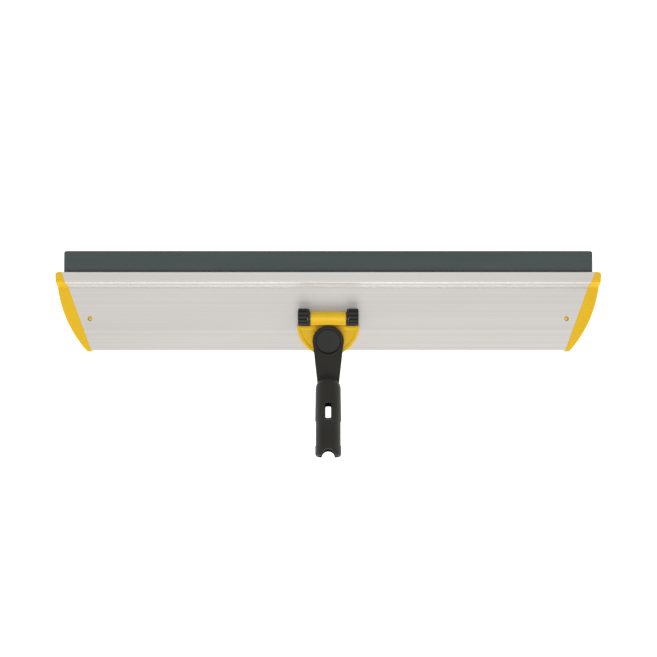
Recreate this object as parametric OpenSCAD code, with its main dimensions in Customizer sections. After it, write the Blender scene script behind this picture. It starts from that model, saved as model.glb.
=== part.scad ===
/* [Overall] */
// Overall length, from one end cap's tip to the other
overall_l = 609.6; // [400:0.1:900]
// Depth of the aluminium profile, rear edge to front edge
frame_depth = 88; // [72:1:120]
// Slant of the profile's end cuts, measured from square
end_slant = 20; // [10:1:26]

/* [Aluminium profile] */
// Height of the flat plate, underside to top face
plate_h = 8; // [6.6:0.1:12]
// Wall thickness of the profile
wall = 1.6; // [1.2:0.1:2]
// Rise of the blade channel above the plate's top face
band_rise = 6; // [5:0.1:9]
// Flat top of the blade channel, front to rear
band_w = 11.6; // [9:0.1:14]
// Width of each sloping face of the step behind the channel
step_slope = 2; // [1:0.1:2.4]
// Width of the ledge between the two sloping faces
step_ledge = 1; // [0.8:0.1:2.4]
// Height of the locating ribs under the plate
rib_h = 0.8; // [0.4:0.1:1.2]
// Width of each locating rib
rib_w = 1.6; // [1:0.1:3]

/* [Blade] */
// Thickness of the rubber blade
blade_t = 3; // [2:0.1:3.8]
// How far the blade stands out of the channel
blade_reach = 23.6; // [14:0.1:40]
// Diameter of the bead along the blade's root
bead_d = 5.6; // [4.6:0.1:6.6]
// Distance of the bead's centre behind the front edge
bead_inset = 7.6; // [6.6:0.1:9]
// How far each end of the blade stops short of the profile's front corner
blade_end_inset = 2.2; // [1:0.1:10]

/* [End caps] */
// How far a cap stands out past the profile's front corner
cap_front_w = 7.2; // [5:0.1:12]
// How far a cap stands out past the profile's rear corner
cap_rear_w = 6; // [4:0.1:10]
// How far a cap's rear tip passes the rear edge
cap_overhang = 1.2; // [0:0.1:3]
// How far the cap's tongue reaches into the hollow profile
tongue_l = 18; // [16:0.5:40]
// Width of the two slits that free the tongue's middle finger
slit_w = 2; // [1:0.1:4]
// Width of the tongue's middle finger
finger_w = 14; // [10:0.5:20]
// Diameter of the hole that the snap peg fills
peg_hole_d = 5.2; // [4:0.1:7]
// Diameter of the snap peg
peg_d = 4.2; // [3:0.1:6]
// Distance of the peg hole from the slanted cut, along the length
peg_inset = 11.4; // [8:0.1:14]
// Distance of the peg hole from the rear edge
peg_from_rear = 36; // [28:0.5:42]

/* [Hook strips] */
// Thickness of a hook strip, backing and hooks together
strip_t = 1.8; // [1.2:0.1:3]
// Width of each hook strip
strip_w = 21; // [14:0.5:22]
// How far each strip's ends stay inside the profile's ends
strip_end_gap = 6; // [2:0.5:30]

/* [Hinge] */
// Distance of the hinge axis from the rear edge
hinge_from_rear = 37.6; // [32:0.1:44]
// Outer diameter of the yoke's barrel
barrel_d = 12; // [11:0.1:16]
// Length of the barrel with both bush flanges
barrel_l = 41; // [34:0.1:60]
// Diameter of the hinge bolt's shank
bolt_d = 6; // [4.5:0.1:6.6]
// Thickness of each bracket ear
ear_t = 1.8; // [1.5:0.1:3]
// Diameter of each bracket ear
ear_d = 18.4; // [14:0.1:18.8]
// Thickness of the bracket's base
base_t = 2.4; // [2:0.1:3]
// Width of the bracket's base, front to rear
base_w = 10; // [9:0.1:11]
// Diameter of the bracket's rivets
rivet_d = 4; // [3:0.1:4.8]

/* [Tension knobs] */
// Outer diameter of a knob over its ribs
knob_d = 19; // [17:0.1:24]
// Width of a knob along the hinge axis
knob_w = 10.6; // [9.5:0.1:16]
// Number of grip ribs around a knob
knob_ribs = 12; // [8:1:18]
// Diameter of each grip rib
rib_d = 2.6; // [1.6:0.1:3.2]
// Width across the flats of the bolt head and of the nut
hinge_hex = 10; // [8:0.1:11]

/* [Yoke flange] */
// Radius of the D-shaped flange
flange_r = 34.8; // [30:0.1:44]
// Thickness of the flange
flange_t = 4; // [3.6:0.1:6]
// Width of the raised rim around the flange
rim_w = 3.6; // [2:0.1:5]
// Rise of the rim above the flange
rim_rise = 0.7; // [0.3:0.1:1.5]
// Diameter of the raised seat under the swivel
seat_d = 38; // [35:0.1:42]

/* [Swivel] */
// Distance from the hinge axis to the swivel axis
swivel_offset = 27; // [26:0.1:32]
// Diameter of the neck's pivot disc
disc_d = 34.8; // [30:0.1:35.6]
// Thickness of the pivot disc
disc_t = 9; // [8.6:0.1:12]
// Thickness of the disc's floor under the pocket
floor_t = 3.4; // [3:0.1:3.6]
// Diameter of the pocket that the dust cap closes
pocket_d = 27.4; // [22:0.1:28]
// Diameter of the swivel screw's shoulder
shoulder_d = 8; // [6.6:0.1:9.6]
// Diameter of the swivel screw's thread
thread_d = 6; // [4.8:0.1:6.4]
// Width across the flats of the swivel nut
swivel_hex = 10; // [9:0.1:13]

/* [Handle socket] */
// Angle of the socket above the plate
socket_tilt = 14.5; // [8:0.5:30]
// Distance from the swivel axis to the tip of the socket's domed end
socket_start = 41.5; // [36:0.5:60]
// Length of the socket's domed end
nose_l = 12.5; // [8:0.5:16]
// Distance from the swivel axis to the socket's mouth
socket_end = 128; // [118:0.5:170]
// Bore of the socket
socket_bore = 22.5; // [18:0.1:23]
// Outer diameter of the socket at its closed end
socket_d = 27.5; // [26.4:0.1:32]
// Growth in the outer diameter up to the ledge
socket_swell = 1; // [0:0.1:2]
// Drop in the outer diameter at the ledge
ledge_drop = 1.4; // [0.4:0.1:2]
// Extra diameter of the collar at the mouth
collar_rise = 1.1; // [0.4:0.1:2]
// Length of the collar at the mouth
collar_l = 12; // [8:0.5:20]
// Length of the button slot along the socket
slot_l = 16.8; // [10:0.1:24]
// Width of the button slot
slot_w = 6.2; // [5:0.1:8]
// Distance from the mouth to the slot's middle
slot_from_mouth = 48.5; // [30:0.5:54]
// Radius of the half-round notch in the mouth
notch_r = 7; // [4:0.1:8]

/* [Clearances] */
// Radial clearance of a turning fit
run_gap = 0.06; // [0.02:0.01:0.1]
// Clearance of a push fit
push_gap = 0.05; // [0.02:0.01:0.1]
// Clearance where a piece slides into another at assembly
slide_gap = 0.2; // [0.1:0.05:0.4]
// Air left between two faces that move past each other
face_gap = 0.3; // [0.2:0.05:0.5]
// Air left under and over the swivel's thrust faces
thrust_gap = 0.1; // [0.05:0.05:0.2]

/* [Hidden] */

aluminium = "#d2cfca";
yellow = "#e8be2d";
black = "#3a3937";
rubber = "#515658";
hook_white = "#e9e9e4";
steel = "#b9bcc0";
nylon = "#f2eedd";

// Levels of the profile; zero is the hook strips' working face
under_z = strip_t;
plate_top = under_z + plate_h;
band_top = plate_top + band_rise;
front_y = frame_depth / 2;
rear_y = -frame_depth / 2;

// Half lengths of the profile at its front and rear corners
front_x = overall_l / 2 - cap_front_w;
rear_x = front_x - frame_depth * tan(end_slant);

// Blade channel
bead_y = front_y - bead_inset;
pocket_r = bead_d / 2 + slide_gap;
channel_h = blade_t + 2 * slide_gap;
bead_z = band_top - wall - pocket_r;
step_back = 2 * step_slope + step_ledge;
step_mid_share = 0.57;
step_mid_z = plate_top + band_rise * step_mid_share;
ledge_y = front_y - band_w - step_slope;
foot_y = front_y - band_w - step_back;
web_y = bead_y - pocket_r - 2 * wall;
cavity_z = under_z + wall;
cavity_h = plate_h - 2 * wall;
front_cavity_h = bead_z - pocket_r - wall - cavity_z;

// Hinge
hinge_y = rear_y + hinge_from_rear;
knob_clear = 0.5;
barrel_clear = 1.1;
hinge_rise = max(knob_d / 2 + knob_clear, barrel_d / 2 + base_t + barrel_clear);
hinge_z = plate_top + hinge_rise;
bush_flange_t = 0.8;
bush_l = 12;
bush_wall = 1.5;
bush_r = bolt_d / 2 + bush_wall;
bush_flange_inset = 0.3;
bush_flange_r = barrel_d / 2 - bush_flange_inset;
yellow_barrel_l = barrel_l - 2 * bush_flange_t;
ear_in = barrel_l / 2 + face_gap;
ear_out = ear_in + ear_t;
ear_foot_w = 14;
rivet_margin = 4.5;
rivet_pitch = (barrel_l - 2 * rivet_margin) / 4;
rivet_head_h = 1.4;
rivet_tail_h = 2;

// Knobs
knob_in = ear_out + face_gap;
knob_out = knob_in + knob_w;
washer_t = 0.6;
washer_rim = 3.6;
washer_r = bolt_d / 2 + washer_rim;
recess_depth = washer_t - face_gap / 2 + push_gap;
washer_in = knob_in + recess_depth - push_gap - washer_t;
bolt_head_h = 4;
hinge_nut_h = 5;
nut_inset = 0.2;
hex_floor = knob_out - hinge_nut_h - nut_inset;
bolt_tip_inset = 0.8;
bolt_tip_edge = 0.6;
knob_edge = 1.2;
rib_share = 0.38;

// Yoke flange and swivel levels
flange_lift = 0.4;
flange_z = plate_top + flange_lift;
flange_top = flange_z + flange_t;
flange_edge_y = hinge_y - knob_d / 2 - face_gap;
flange_centre_back = 1.2;
flange_cy = flange_edge_y + flange_centre_back;
seat_rise = 0.1;
seat_top = flange_top + rim_rise + seat_rise;
web_gap = 0.7;
web_lean = 28;
web_in = 1;
web_crest_inset = 0.02;
web_behind = 2.6;
web_under = 54;
seat_edge = 0.4;
seat_reach = 2;
wear_t = 0.6;
wear_r = disc_d / 2 - 1;
disc_z = seat_top + wear_t + thrust_gap;
disc_top = disc_z + disc_t;
neck_y = hinge_y - swivel_offset;
screw_head_r = shoulder_d / 2 + 2;
screw_head_h = 2.2;
screw_head_lift = 0.2;
screw_edge = 0.4;
shoulder_top = disc_z + floor_t + thrust_gap;
flat_t = 0.8;
spring_t = 0.6;
spring_leaf = 0.36;
spring_rim = 1.6;
flat_clear = 3.7;
cap_t = 1.2;
cap_edge = 0.4;
nut_z = shoulder_top + flat_t + spring_t;
nut_h = disc_top - cap_t - face_gap - nut_z;
cap_skirt_h = 1.6;
cap_skirt_w = 1.3;

// Handle socket
socket_z = disc_z + disc_t / 3;
nose_wall = 2;
bore_start = socket_start + nose_l - nose_wall;
ledge_past_slot = 1.6;
ledge_s = socket_end - slot_from_mouth + slot_l / 2 + ledge_past_slot;
ledge_slope = 0.8;
collar_s = socket_end - collar_l;
swell_r = (socket_d + socket_swell) / 2;
shank_r = swell_r - ledge_drop / 2;
collar_r = shank_r + collar_rise / 2;
nose_tip_r = 2;
nose_steps = 12;
mouth_curve = [[0, 2.4], [0.9, 0.7], [1.7, 0]];
arm_narrower = 4.5;
arm_w = socket_d - arm_narrower;
arm_low = -6.5;
arm_t = 9;
arm_end_short = 2.3;
arm_end_l = nose_l - arm_end_short;
arm_inset = 0.15;
slot_corner = 1.5;

// Length of a cutting tool that passes right through, and of one's overrun
through = 200;
over = 1;

// Draws a section in the depth-height plane along the length, centred
module along_x(l) {
    rotate([90, 0, 90])
        translate([0, 0, -l / 2])
            linear_extrude(l)
                children();
}

// Puts a tool on the hinge axis, with its own z along the length
module on_hinge_axis(x = 0) {
    translate([x, hinge_y, hinge_z])
        rotate([0, 90, 0])
            children();
}

// Puts a tool on the socket's axis, with z towards the mouth and y upwards
module on_socket_axis(s = 0) {
    translate([0, neck_y, socket_z])
        rotate([90 - socket_tilt, 0, 0])
            translate([0, 0, s])
                children();
}

// Everything between the two slanted end cuts, pulled in by a gap
module between_end_cuts(gap = 0) {
    reach = frame_depth;
    slope = tan(end_slant);
    x_front = front_x + reach * slope - gap;
    x_rear = rear_x - reach * slope - gap;
    translate([0, 0, -through / 2])
        linear_extrude(through)
            polygon([
                [-x_front, front_y + reach], [x_front, front_y + reach],
                [x_rear, rear_y - reach], [-x_rear, rear_y - reach]
            ]);
}

// Outer line of the profile, with the two-stage step behind the channel
module profile_outline(rear = rear_y, low = under_z) {
    polygon([
        [rear, low], [front_y, low], [front_y, band_top],
        [front_y - band_w, band_top], [ledge_y, step_mid_z],
        [ledge_y - step_ledge, step_mid_z], [foot_y, plate_top], [rear, plate_top]
    ]);
}

// Middle of each hook strip, front to rear
strip_pitch = (frame_depth - 4 * rib_w - 3 * strip_w) / 3 + strip_w + rib_w;

module locating_ribs() {
    first = rear_y;
    last = front_y - rib_w;
    for (i = [0:3])
        translate([first + (last - first) * i / 3, under_z - rib_h])
            square([rib_w, rib_h + wall / 2]);
}

module frame_extrusion() {
    color(aluminium)
    difference() {
        intersection() {
            along_x(overall_l)
                difference() {
                    union() {
                        profile_outline();
                        locating_ribs();
                    }
                    translate([rear_y + wall, cavity_z])
                        square([web_y - rear_y - wall, cavity_h]);
                    translate([web_y + wall, cavity_z])
                        square([front_y - wall - web_y - wall, front_cavity_h]);
                    translate([bead_y, bead_z])
                        circle(r = pocket_r, $fn = 48);
                    translate([bead_y, bead_z - channel_h / 2])
                        square([bead_inset + over, channel_h]);
                }
            between_end_cuts();
        }
        for (side = [-1, 1])
            translate([side * peg_x, peg_y, plate_top - 2 * wall])
                cylinder(h = 3 * wall, d = peg_hole_d, $fn = 40);
        for (i = [-1.5:1.5])
            translate([i * rivet_pitch, hinge_y, plate_top - 2 * wall])
                cylinder(h = 3 * wall, d = rivet_d + 2 * push_gap, $fn = 32);
    }
}

// The blade's free edge is square-ended; its root follows the end cuts
module squeegee_blade() {
    color(rubber) {
        blade_x = front_x - blade_end_inset;
        root_l = bead_inset + push_gap;
        union() {
            translate([-blade_x, front_y, bead_z - blade_t / 2])
                cube([2 * blade_x, blade_reach, blade_t]);
            intersection() {
                along_x(overall_l)
                    union() {
                        translate([bead_y, bead_z])
                            circle(d = bead_d, $fn = 48);
                        translate([bead_y, bead_z - blade_t / 2])
                            square([root_l, blade_t]);
                    }
                between_end_cuts(blade_end_inset);
            }
        }
    }
}

// Peg holes lie on the plate, a set distance inside the slanted cuts
peg_y = rear_y + peg_from_rear;
peg_x = rear_x + peg_from_rear * tan(end_slant) - peg_inset;

// The cap's bow is an arc that meets the front corner square
tongue_root = 0.5;
peg_play = 0.3;
bow_dx = overall_l / 2 - rear_x - cap_rear_w;
bow_r = (bow_dx * bow_dx + frame_depth * frame_depth) / (2 * bow_dx);

// Plan of the right cap, between the slanted cut and the bow
module cap_plan() {
    slope = tan(end_slant);
    intersection() {
        translate([overall_l / 2 - bow_r, front_y])
            circle(r = bow_r, $fn = 360);
        polygon([
            [front_x, front_y], [overall_l / 2, front_y], [overall_l / 2, rear_y - cap_overhang],
            [rear_x - cap_overhang * slope, rear_y - cap_overhang]
        ]);
    }
}

// Plan of the tongue: a strip of the hollow, parallel to the slanted cut
module tongue_plan(y_low, y_high, reach) {
    slope = tan(end_slant);
    polygon([
        [rear_x + (y_low - rear_y) * slope + tongue_root, y_low],
        [rear_x + (y_low - rear_y) * slope - reach, y_low],
        [rear_x + (y_high - rear_y) * slope - reach, y_high],
        [rear_x + (y_high - rear_y) * slope + tongue_root, y_high]
    ]);
}

module right_cap() {
    tongue_z = cavity_z + slide_gap;
    tongue_h = cavity_h - 2 * slide_gap;
    tongue_rear = rear_y + wall + slide_gap;
    tongue_front = web_y - slide_gap;
    finger_low = peg_y - finger_w / 2;
    finger_high = peg_y + finger_w / 2;
    color(yellow)
    union() {
        intersection() {
            along_x(2 * overall_l)
                profile_outline(rear_y - cap_overhang, under_z - rib_h);
            linear_extrude(band_top)
                cap_plan();
        }
        translate([0, 0, tongue_z])
            linear_extrude(tongue_h) {
                tongue_plan(tongue_rear, finger_low - slit_w, tongue_l);
                tongue_plan(finger_low, finger_high, tongue_l);
                tongue_plan(finger_high + slit_w, tongue_front, tongue_l);
            }
        translate([peg_x - peg_play, peg_y, tongue_z])
            cylinder(h = plate_top - peg_play - tongue_z, d = peg_d, $fn = 40);
    }
}

module end_cap_right() {
    right_cap();
}

module end_cap_left() {
    mirror([1, 0, 0])
        right_cap();
}

module hook_strip(y) {
    color(hook_white)
    intersection() {
        translate([-overall_l / 2, y - strip_w / 2, 0])
            cube([overall_l, strip_w, strip_t]);
        between_end_cuts(strip_end_gap);
    }
}

module hook_strip_front() {
    hook_strip(strip_pitch);
}

module hook_strip_middle() {
    hook_strip(0);
}

module hook_strip_rear() {
    hook_strip(-strip_pitch);
}

// Black channel-shaped bracket: a riveted base with two round ears
module hinge_bracket() {
    color(black)
    difference() {
        union() {
            translate([-ear_out, hinge_y - base_w / 2, plate_top])
                cube([2 * ear_out, base_w, base_t]);
            for (side = [-1, 1]) {
                on_hinge_axis(side * (ear_in + ear_t / 2))
                    cylinder(h = ear_t, d = ear_d, center = true, $fn = 72);
                translate([side * (ear_in + ear_t / 2) - ear_t / 2, hinge_y - ear_foot_w / 2, plate_top])
                    cube([ear_t, ear_foot_w, hinge_rise]);
            }
        }
        on_hinge_axis()
            cylinder(h = through, r = bolt_d / 2 + run_gap, center = true, $fn = 48);
        for (i = [-1.5:1.5])
            translate([i * rivet_pitch, hinge_y, plate_top])
                rivet_hole();
    }
}

module rivet_hole() {
    head_r = rivet_d / 2 + rivet_head_h;
    translate([0, 0, -over])
        cylinder(h = base_t + 2 * over, d = rivet_d + 2 * push_gap, $fn = 32);
    translate([0, 0, base_t - rivet_head_h])
        cylinder(h = rivet_head_h, r1 = rivet_d / 2 + push_gap, r2 = head_r + push_gap, $fn = 32);
}

// Four blind rivets with flush heads, and their set tails inside the profile
module bracket_rivets() {
    head_r = rivet_d / 2 + rivet_head_h;
    color(steel)
    for (i = [-1.5:1.5])
        translate([i * rivet_pitch, hinge_y, plate_top])
            rotate_extrude($fn = 32)
                polygon([
                    [0, -wall - rivet_tail_h], [rivet_d / 2, -wall - rivet_tail_h],
                    [head_r, -wall - rivet_tail_h / 2], [head_r, -wall - push_gap],
                    [rivet_d / 2, -wall - push_gap], [rivet_d / 2, base_t - rivet_head_h],
                    [head_r, base_t], [0, base_t]
                ]);
}

// Hex-head bolt from the left knob's pocket to the nut in the right knob
module hinge_bolt() {
    tip = knob_out - bolt_tip_inset;
    color(steel)
    union() {
        on_hinge_axis(-hex_floor)
            rotate([0, 0, 30])
                translate([0, 0, -bolt_head_h])
                    cylinder(h = bolt_head_h, d = hinge_hex / cos(30), $fn = 6);
        on_hinge_axis(-hex_floor)
            cylinder(h = hex_floor + tip - bolt_tip_edge, d = bolt_d, $fn = 48);
        on_hinge_axis(tip - bolt_tip_edge)
            cylinder(h = bolt_tip_edge, d1 = bolt_d, d2 = bolt_d - 2 * bolt_tip_edge, $fn = 48);
    }
}

module hinge_nut() {
    color(steel)
    on_hinge_axis(hex_floor + push_gap)
        difference() {
            rotate([0, 0, 30])
                cylinder(h = hinge_nut_h - push_gap, d = hinge_hex / cos(30), $fn = 6);
            translate([0, 0, -over])
                cylinder(h = hinge_nut_h + 2 * over, r = bolt_d / 2 + run_gap, $fn = 48);
        }
}

// Ribbed thumb knob with a hex pocket outside and a washer recess inside
module right_knob() {
    core_r = knob_d / 2 - rib_d * rib_share;
    color(black)
    on_hinge_axis()
        difference() {
            intersection() {
                union() {
                    translate([0, 0, knob_in])
                        cylinder(h = knob_w, r = core_r, $fn = 72);
                    for (i = [0:knob_ribs - 1])
                        rotate([0, 0, i * 360 / knob_ribs])
                            translate([knob_d / 2 - rib_d / 2, 0, knob_in])
                                cylinder(h = knob_w, d = rib_d, $fn = 24);
                }
                rotate_extrude($fn = 96)
                    polygon([
                        [0, knob_in], [knob_d / 2, knob_in], [knob_d / 2, knob_out - knob_edge],
                        [knob_d / 2 - knob_edge, knob_out], [0, knob_out]
                    ]);
            }
            cylinder(h = through, r = bolt_d / 2 + run_gap, $fn = 48);
            translate([0, 0, knob_in - over])
                cylinder(h = recess_depth + over, r = washer_r + slide_gap, $fn = 48);
            translate([0, 0, hex_floor])
                rotate([0, 0, 30])
                    cylinder(h = through, d = (hinge_hex + 2 * push_gap) / cos(30), $fn = 6);
        }
}

module tension_knob_right() {
    right_knob();
}

module tension_knob_left() {
    mirror([1, 0, 0])
        right_knob();
}

module right_thrust_washer() {
    color(steel)
    on_hinge_axis(washer_in)
        difference() {
            cylinder(h = washer_t, r = washer_r, $fn = 48);
            translate([0, 0, -over])
                cylinder(h = washer_t + 2 * over, r = bolt_d / 2 + run_gap, $fn = 48);
        }
}

module thrust_washer_right() {
    right_thrust_washer();
}

module thrust_washer_left() {
    mirror([1, 0, 0])
        right_thrust_washer();
}

// D-shaped plan of the yoke's flange, pulled in by an inset
module flange_plan(inset = 0) {
    intersection() {
        translate([0, flange_cy])
            circle(r = flange_r - inset, $fn = 120);
        translate([-flange_r, flange_edge_y - inset - 2 * flange_r])
            square(2 * flange_r);
    }
}

// Section of the stepped wall that joins the barrel to the flange
module yoke_web_section() {
    web_foot_y = max(neck_y + disc_d / 2 + web_gap, flange_edge_y);
    crest = barrel_d / 2 - web_crest_inset;
    lip_z = hinge_z + crest * sin(web_lean);
    polygon([
        [flange_edge_y - web_in, flange_z], [hinge_y - base_w / 2 - web_behind, flange_z],
        [hinge_y - crest * cos(web_under), hinge_z - crest * sin(web_under)], [hinge_y, hinge_z],
        [hinge_y - crest * cos(web_lean), lip_z],
        [web_foot_y, lip_z], [web_foot_y, flange_top], [flange_edge_y - web_in, flange_top]
    ]);
}

module hinge_yoke() {
    color(yellow)
    difference() {
        union() {
            on_hinge_axis()
                cylinder(h = yellow_barrel_l, d = barrel_d, center = true, $fn = 72);
            along_x(yellow_barrel_l)
                yoke_web_section();
            translate([0, 0, flange_z])
                linear_extrude(flange_t)
                    flange_plan();
            translate([0, 0, flange_top])
                linear_extrude(rim_rise)
                    difference() {
                        flange_plan();
                        flange_plan(rim_w);
                    }
            translate([0, 0, flange_top - over])
                linear_extrude(seat_top - flange_top + over)
                    intersection() {
                        translate([0, neck_y])
                            circle(d = seat_d, $fn = 96);
                        union() {
                            flange_plan(seat_edge);
                            translate([-yellow_barrel_l / 2, flange_edge_y - seat_reach])
                                square([yellow_barrel_l, hinge_y - flange_edge_y]);
                        }
                    }
        }
        on_hinge_axis()
            cylinder(h = through, r = bush_r + push_gap, center = true, $fn = 48);
        translate([0, neck_y, 0])
            cylinder(h = through, r = shoulder_d / 2 + push_gap, $fn = 48);
        translate([0, neck_y, flange_z - over])
            cylinder(h = screw_head_h + screw_head_lift + over, r = screw_head_r + slide_gap, $fn = 48);
    }
}

// Flanged nylon bush in the barrel's right end
module right_bush() {
    inner_x = yellow_barrel_l / 2;
    color(nylon)
    on_hinge_axis()
        rotate_extrude($fn = 48)
            polygon([
                [bolt_d / 2 + run_gap, inner_x - bush_l], [bush_r, inner_x - bush_l],
                [bush_r, inner_x], [bush_flange_r, inner_x],
                [bush_flange_r, inner_x + bush_flange_t], [bolt_d / 2 + run_gap, inner_x + bush_flange_t]
            ]);
}

module barrel_bush_right() {
    right_bush();
}

module barrel_bush_left() {
    mirror([1, 0, 0])
        right_bush();
}

// Shoulder screw, head up inside the flange's underside
module swivel_screw() {
    head_z = flange_z + screw_head_lift;
    color(steel)
    translate([0, neck_y, 0])
        rotate_extrude($fn = 48)
            polygon([
                [0, head_z], [screw_head_r - screw_edge, head_z], [screw_head_r, head_z + screw_edge],
                [screw_head_r, head_z + screw_head_h], [shoulder_d / 2, head_z + screw_head_h],
                [shoulder_d / 2, shoulder_top], [thread_d / 2, shoulder_top],
                [thread_d / 2, nut_z + nut_h - screw_edge], [thread_d / 2 - screw_edge, nut_z + nut_h],
                [0, nut_z + nut_h]
            ]);
}

// Plain ring around the swivel axis
module swivel_ring(z, h, r_in, r_out) {
    translate([0, neck_y, z])
        difference() {
            cylinder(h = h, r = r_out, $fn = 72);
            translate([0, 0, -over])
                cylinder(h = h + 2 * over, r = r_in, $fn = 48);
        }
}

module wear_washer() {
    color(nylon)
        swivel_ring(seat_top, wear_t, shoulder_d / 2 + push_gap, wear_r);
}

module flat_washer() {
    color(steel)
        swivel_ring(shoulder_top, flat_t, thread_d / 2 + push_gap, pocket_d / 2 - flat_clear);
}

// Slightly coned spring washer between the flat washer and the nut
module spring_washer() {
    inner = thread_d / 2 + push_gap;
    outer = swivel_hex / 2 + spring_rim;
    base = shoulder_top + flat_t;
    color(steel)
    translate([0, neck_y, base])
        rotate_extrude($fn = 48)
            polygon([
                [inner, spring_t - spring_leaf], [outer, 0], [outer, spring_leaf], [inner, spring_t]
            ]);
}

module swivel_nut() {
    color(steel)
    translate([0, neck_y, nut_z])
        difference() {
            cylinder(h = nut_h, d = swivel_hex / cos(30), $fn = 6);
            translate([0, 0, -over])
                cylinder(h = nut_h + 2 * over, d = thread_d + 2 * push_gap, $fn = 48);
        }
}

// Outer line of the socket: domed end, swelling body, ledge, shank, collar
nose = [
    for (i = [0:nose_steps])
        let (a = 90 * i / nose_steps)
            [nose_tip_r + (socket_d / 2 - nose_tip_r) * sin(a), socket_start + nose_l * (1 - cos(a))]
];
socket_section = concat(
    [[0, socket_start]], nose,
    [
        [swell_r, ledge_s], [shank_r, ledge_s + ledge_slope], [shank_r, collar_s],
        [collar_r, collar_s + ledge_slope]
    ],
    [for (p = mouth_curve) [collar_r - p[0], socket_end - p[1]]],
    [[0, socket_end]]
);

// Button slot with round corners, drawn across the socket
module slot_plan() {
    square([slot_w - 2 * slot_corner, slot_l], center = true);
    square([slot_w, slot_l - 2 * slot_corner], center = true);
    for (side = [-1, 1], end = [-1, 1])
        translate([side * (slot_w / 2 - slot_corner), end * (slot_l / 2 - slot_corner)])
            circle(r = slot_corner, $fn = 24);
}

// Neck: pivot disc, flat arm and handle socket in one moulding
module swivel_neck() {
    color(black)
    difference() {
        union() {
            translate([0, neck_y, disc_z])
                cylinder(h = disc_t, d = disc_d, $fn = 96);
            hull() {
                translate([0, neck_y, disc_z + arm_inset])
                    cylinder(h = disc_t - 2 * arm_inset, d = disc_d - 2 * arm_inset, $fn = 32);
                on_socket_axis(socket_start)
                    translate([-arm_w / 2, arm_low, 0])
                        cube([arm_w, arm_t, arm_end_l]);
            }
            on_socket_axis()
                rotate_extrude($fn = 96)
                    polygon(socket_section);
        }
        on_socket_axis(bore_start)
            cylinder(h = through, d = socket_bore, $fn = 96);
        on_socket_axis(socket_end - slot_from_mouth)
            rotate([90, 0, 0])
                linear_extrude(through, center = true)
                    slot_plan();
        on_socket_axis(socket_end)
            rotate([90, 0, 0])
                rotate([0, 0, 90])
                    cylinder(h = through, r = notch_r, center = true, $fn = 48);
        translate([0, neck_y, disc_z - over])
            cylinder(h = disc_t, r = shoulder_d / 2 + run_gap, $fn = 48);
        translate([0, neck_y, disc_z + floor_t])
            cylinder(h = through, d = pocket_d, $fn = 72);
    }
}

// Press-in dust cap over the swivel's nut
module swivel_cap() {
    outer = pocket_d / 2 - push_gap;
    low = disc_top - cap_t;
    color(black)
    translate([0, neck_y, 0])
        rotate_extrude($fn = 72)
            polygon([
                [0, low], [outer - cap_skirt_w, low], [outer - cap_skirt_w, low - cap_skirt_h],
                [outer, low - cap_skirt_h], [outer, disc_top - cap_edge],
                [outer - cap_edge, disc_top], [0, disc_top]
            ]);
}

frame_extrusion();
squeegee_blade();
end_cap_left();
end_cap_right();
hook_strip_front();
hook_strip_middle();
hook_strip_rear();
hinge_bracket();
bracket_rivets();
hinge_bolt();
hinge_nut();
tension_knob_left();
tension_knob_right();
thrust_washer_left();
thrust_washer_right();
hinge_yoke();
barrel_bush_left();
barrel_bush_right();
swivel_screw();
wear_washer();
flat_washer();
spring_washer();
swivel_nut();
swivel_neck();
swivel_cap();
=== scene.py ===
from math import acos, cos, pi, radians, sin, sqrt, tan

import bmesh
import bpy
from mathutils import Matrix, Vector
from mathutils.noise import noise


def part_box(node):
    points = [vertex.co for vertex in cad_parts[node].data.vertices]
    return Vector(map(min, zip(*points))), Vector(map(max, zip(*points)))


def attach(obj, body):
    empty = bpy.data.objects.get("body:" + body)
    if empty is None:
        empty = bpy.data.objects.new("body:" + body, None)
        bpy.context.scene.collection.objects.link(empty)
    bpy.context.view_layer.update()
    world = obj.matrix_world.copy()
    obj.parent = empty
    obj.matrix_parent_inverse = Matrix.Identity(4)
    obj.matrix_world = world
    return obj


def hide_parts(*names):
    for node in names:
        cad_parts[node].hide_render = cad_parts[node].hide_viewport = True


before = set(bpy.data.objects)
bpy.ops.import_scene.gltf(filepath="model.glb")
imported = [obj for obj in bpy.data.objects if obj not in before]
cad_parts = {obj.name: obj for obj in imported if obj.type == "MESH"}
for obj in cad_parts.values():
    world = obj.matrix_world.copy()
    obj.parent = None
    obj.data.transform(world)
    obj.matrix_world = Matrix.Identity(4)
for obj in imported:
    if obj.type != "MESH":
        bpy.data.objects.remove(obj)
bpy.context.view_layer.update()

# The camera stands straight above the plate, a little over a metre up,
# as a catalogue shot of a flat tool is taken.
CAMERA_HEIGHT = 1.06
CAMERA_SIDE = 0.0003
CAMERA_DEPTH = -0.0191
SENSOR_WIDTH = 36
LENS = 51.3

lens = bpy.data.cameras.new("camera")
lens.sensor_width = SENSOR_WIDTH
lens.lens = LENS
camera = bpy.data.objects.new("camera", lens)
camera.location = (CAMERA_SIDE, CAMERA_DEPTH, CAMERA_HEIGHT)
bpy.context.scene.collection.objects.link(camera)
bpy.context.scene.camera = camera
bpy.context.scene.view_settings.view_transform = "Standard"

# Studio light: a bright even tent all round, and one wide soft box on the
# handle side, so that the faces turned to the handle are the lighter ones.
TENT_COLOUR = (1.0, 0.995, 0.985, 1)
TENT_STRENGTH = 0.60
SOFT_BOX_PLACE = Vector((0.0, -2.1, 2.3))
SOFT_BOX_SIZE = 1.7
SOFT_BOX_POWER = 50

world = bpy.data.worlds.new("studio_tent")
world.use_nodes = True
world.node_tree.nodes["Background"].inputs["Color"].default_value = TENT_COLOUR
world.node_tree.nodes["Background"].inputs["Strength"].default_value = TENT_STRENGTH
bpy.context.scene.world = world

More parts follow.
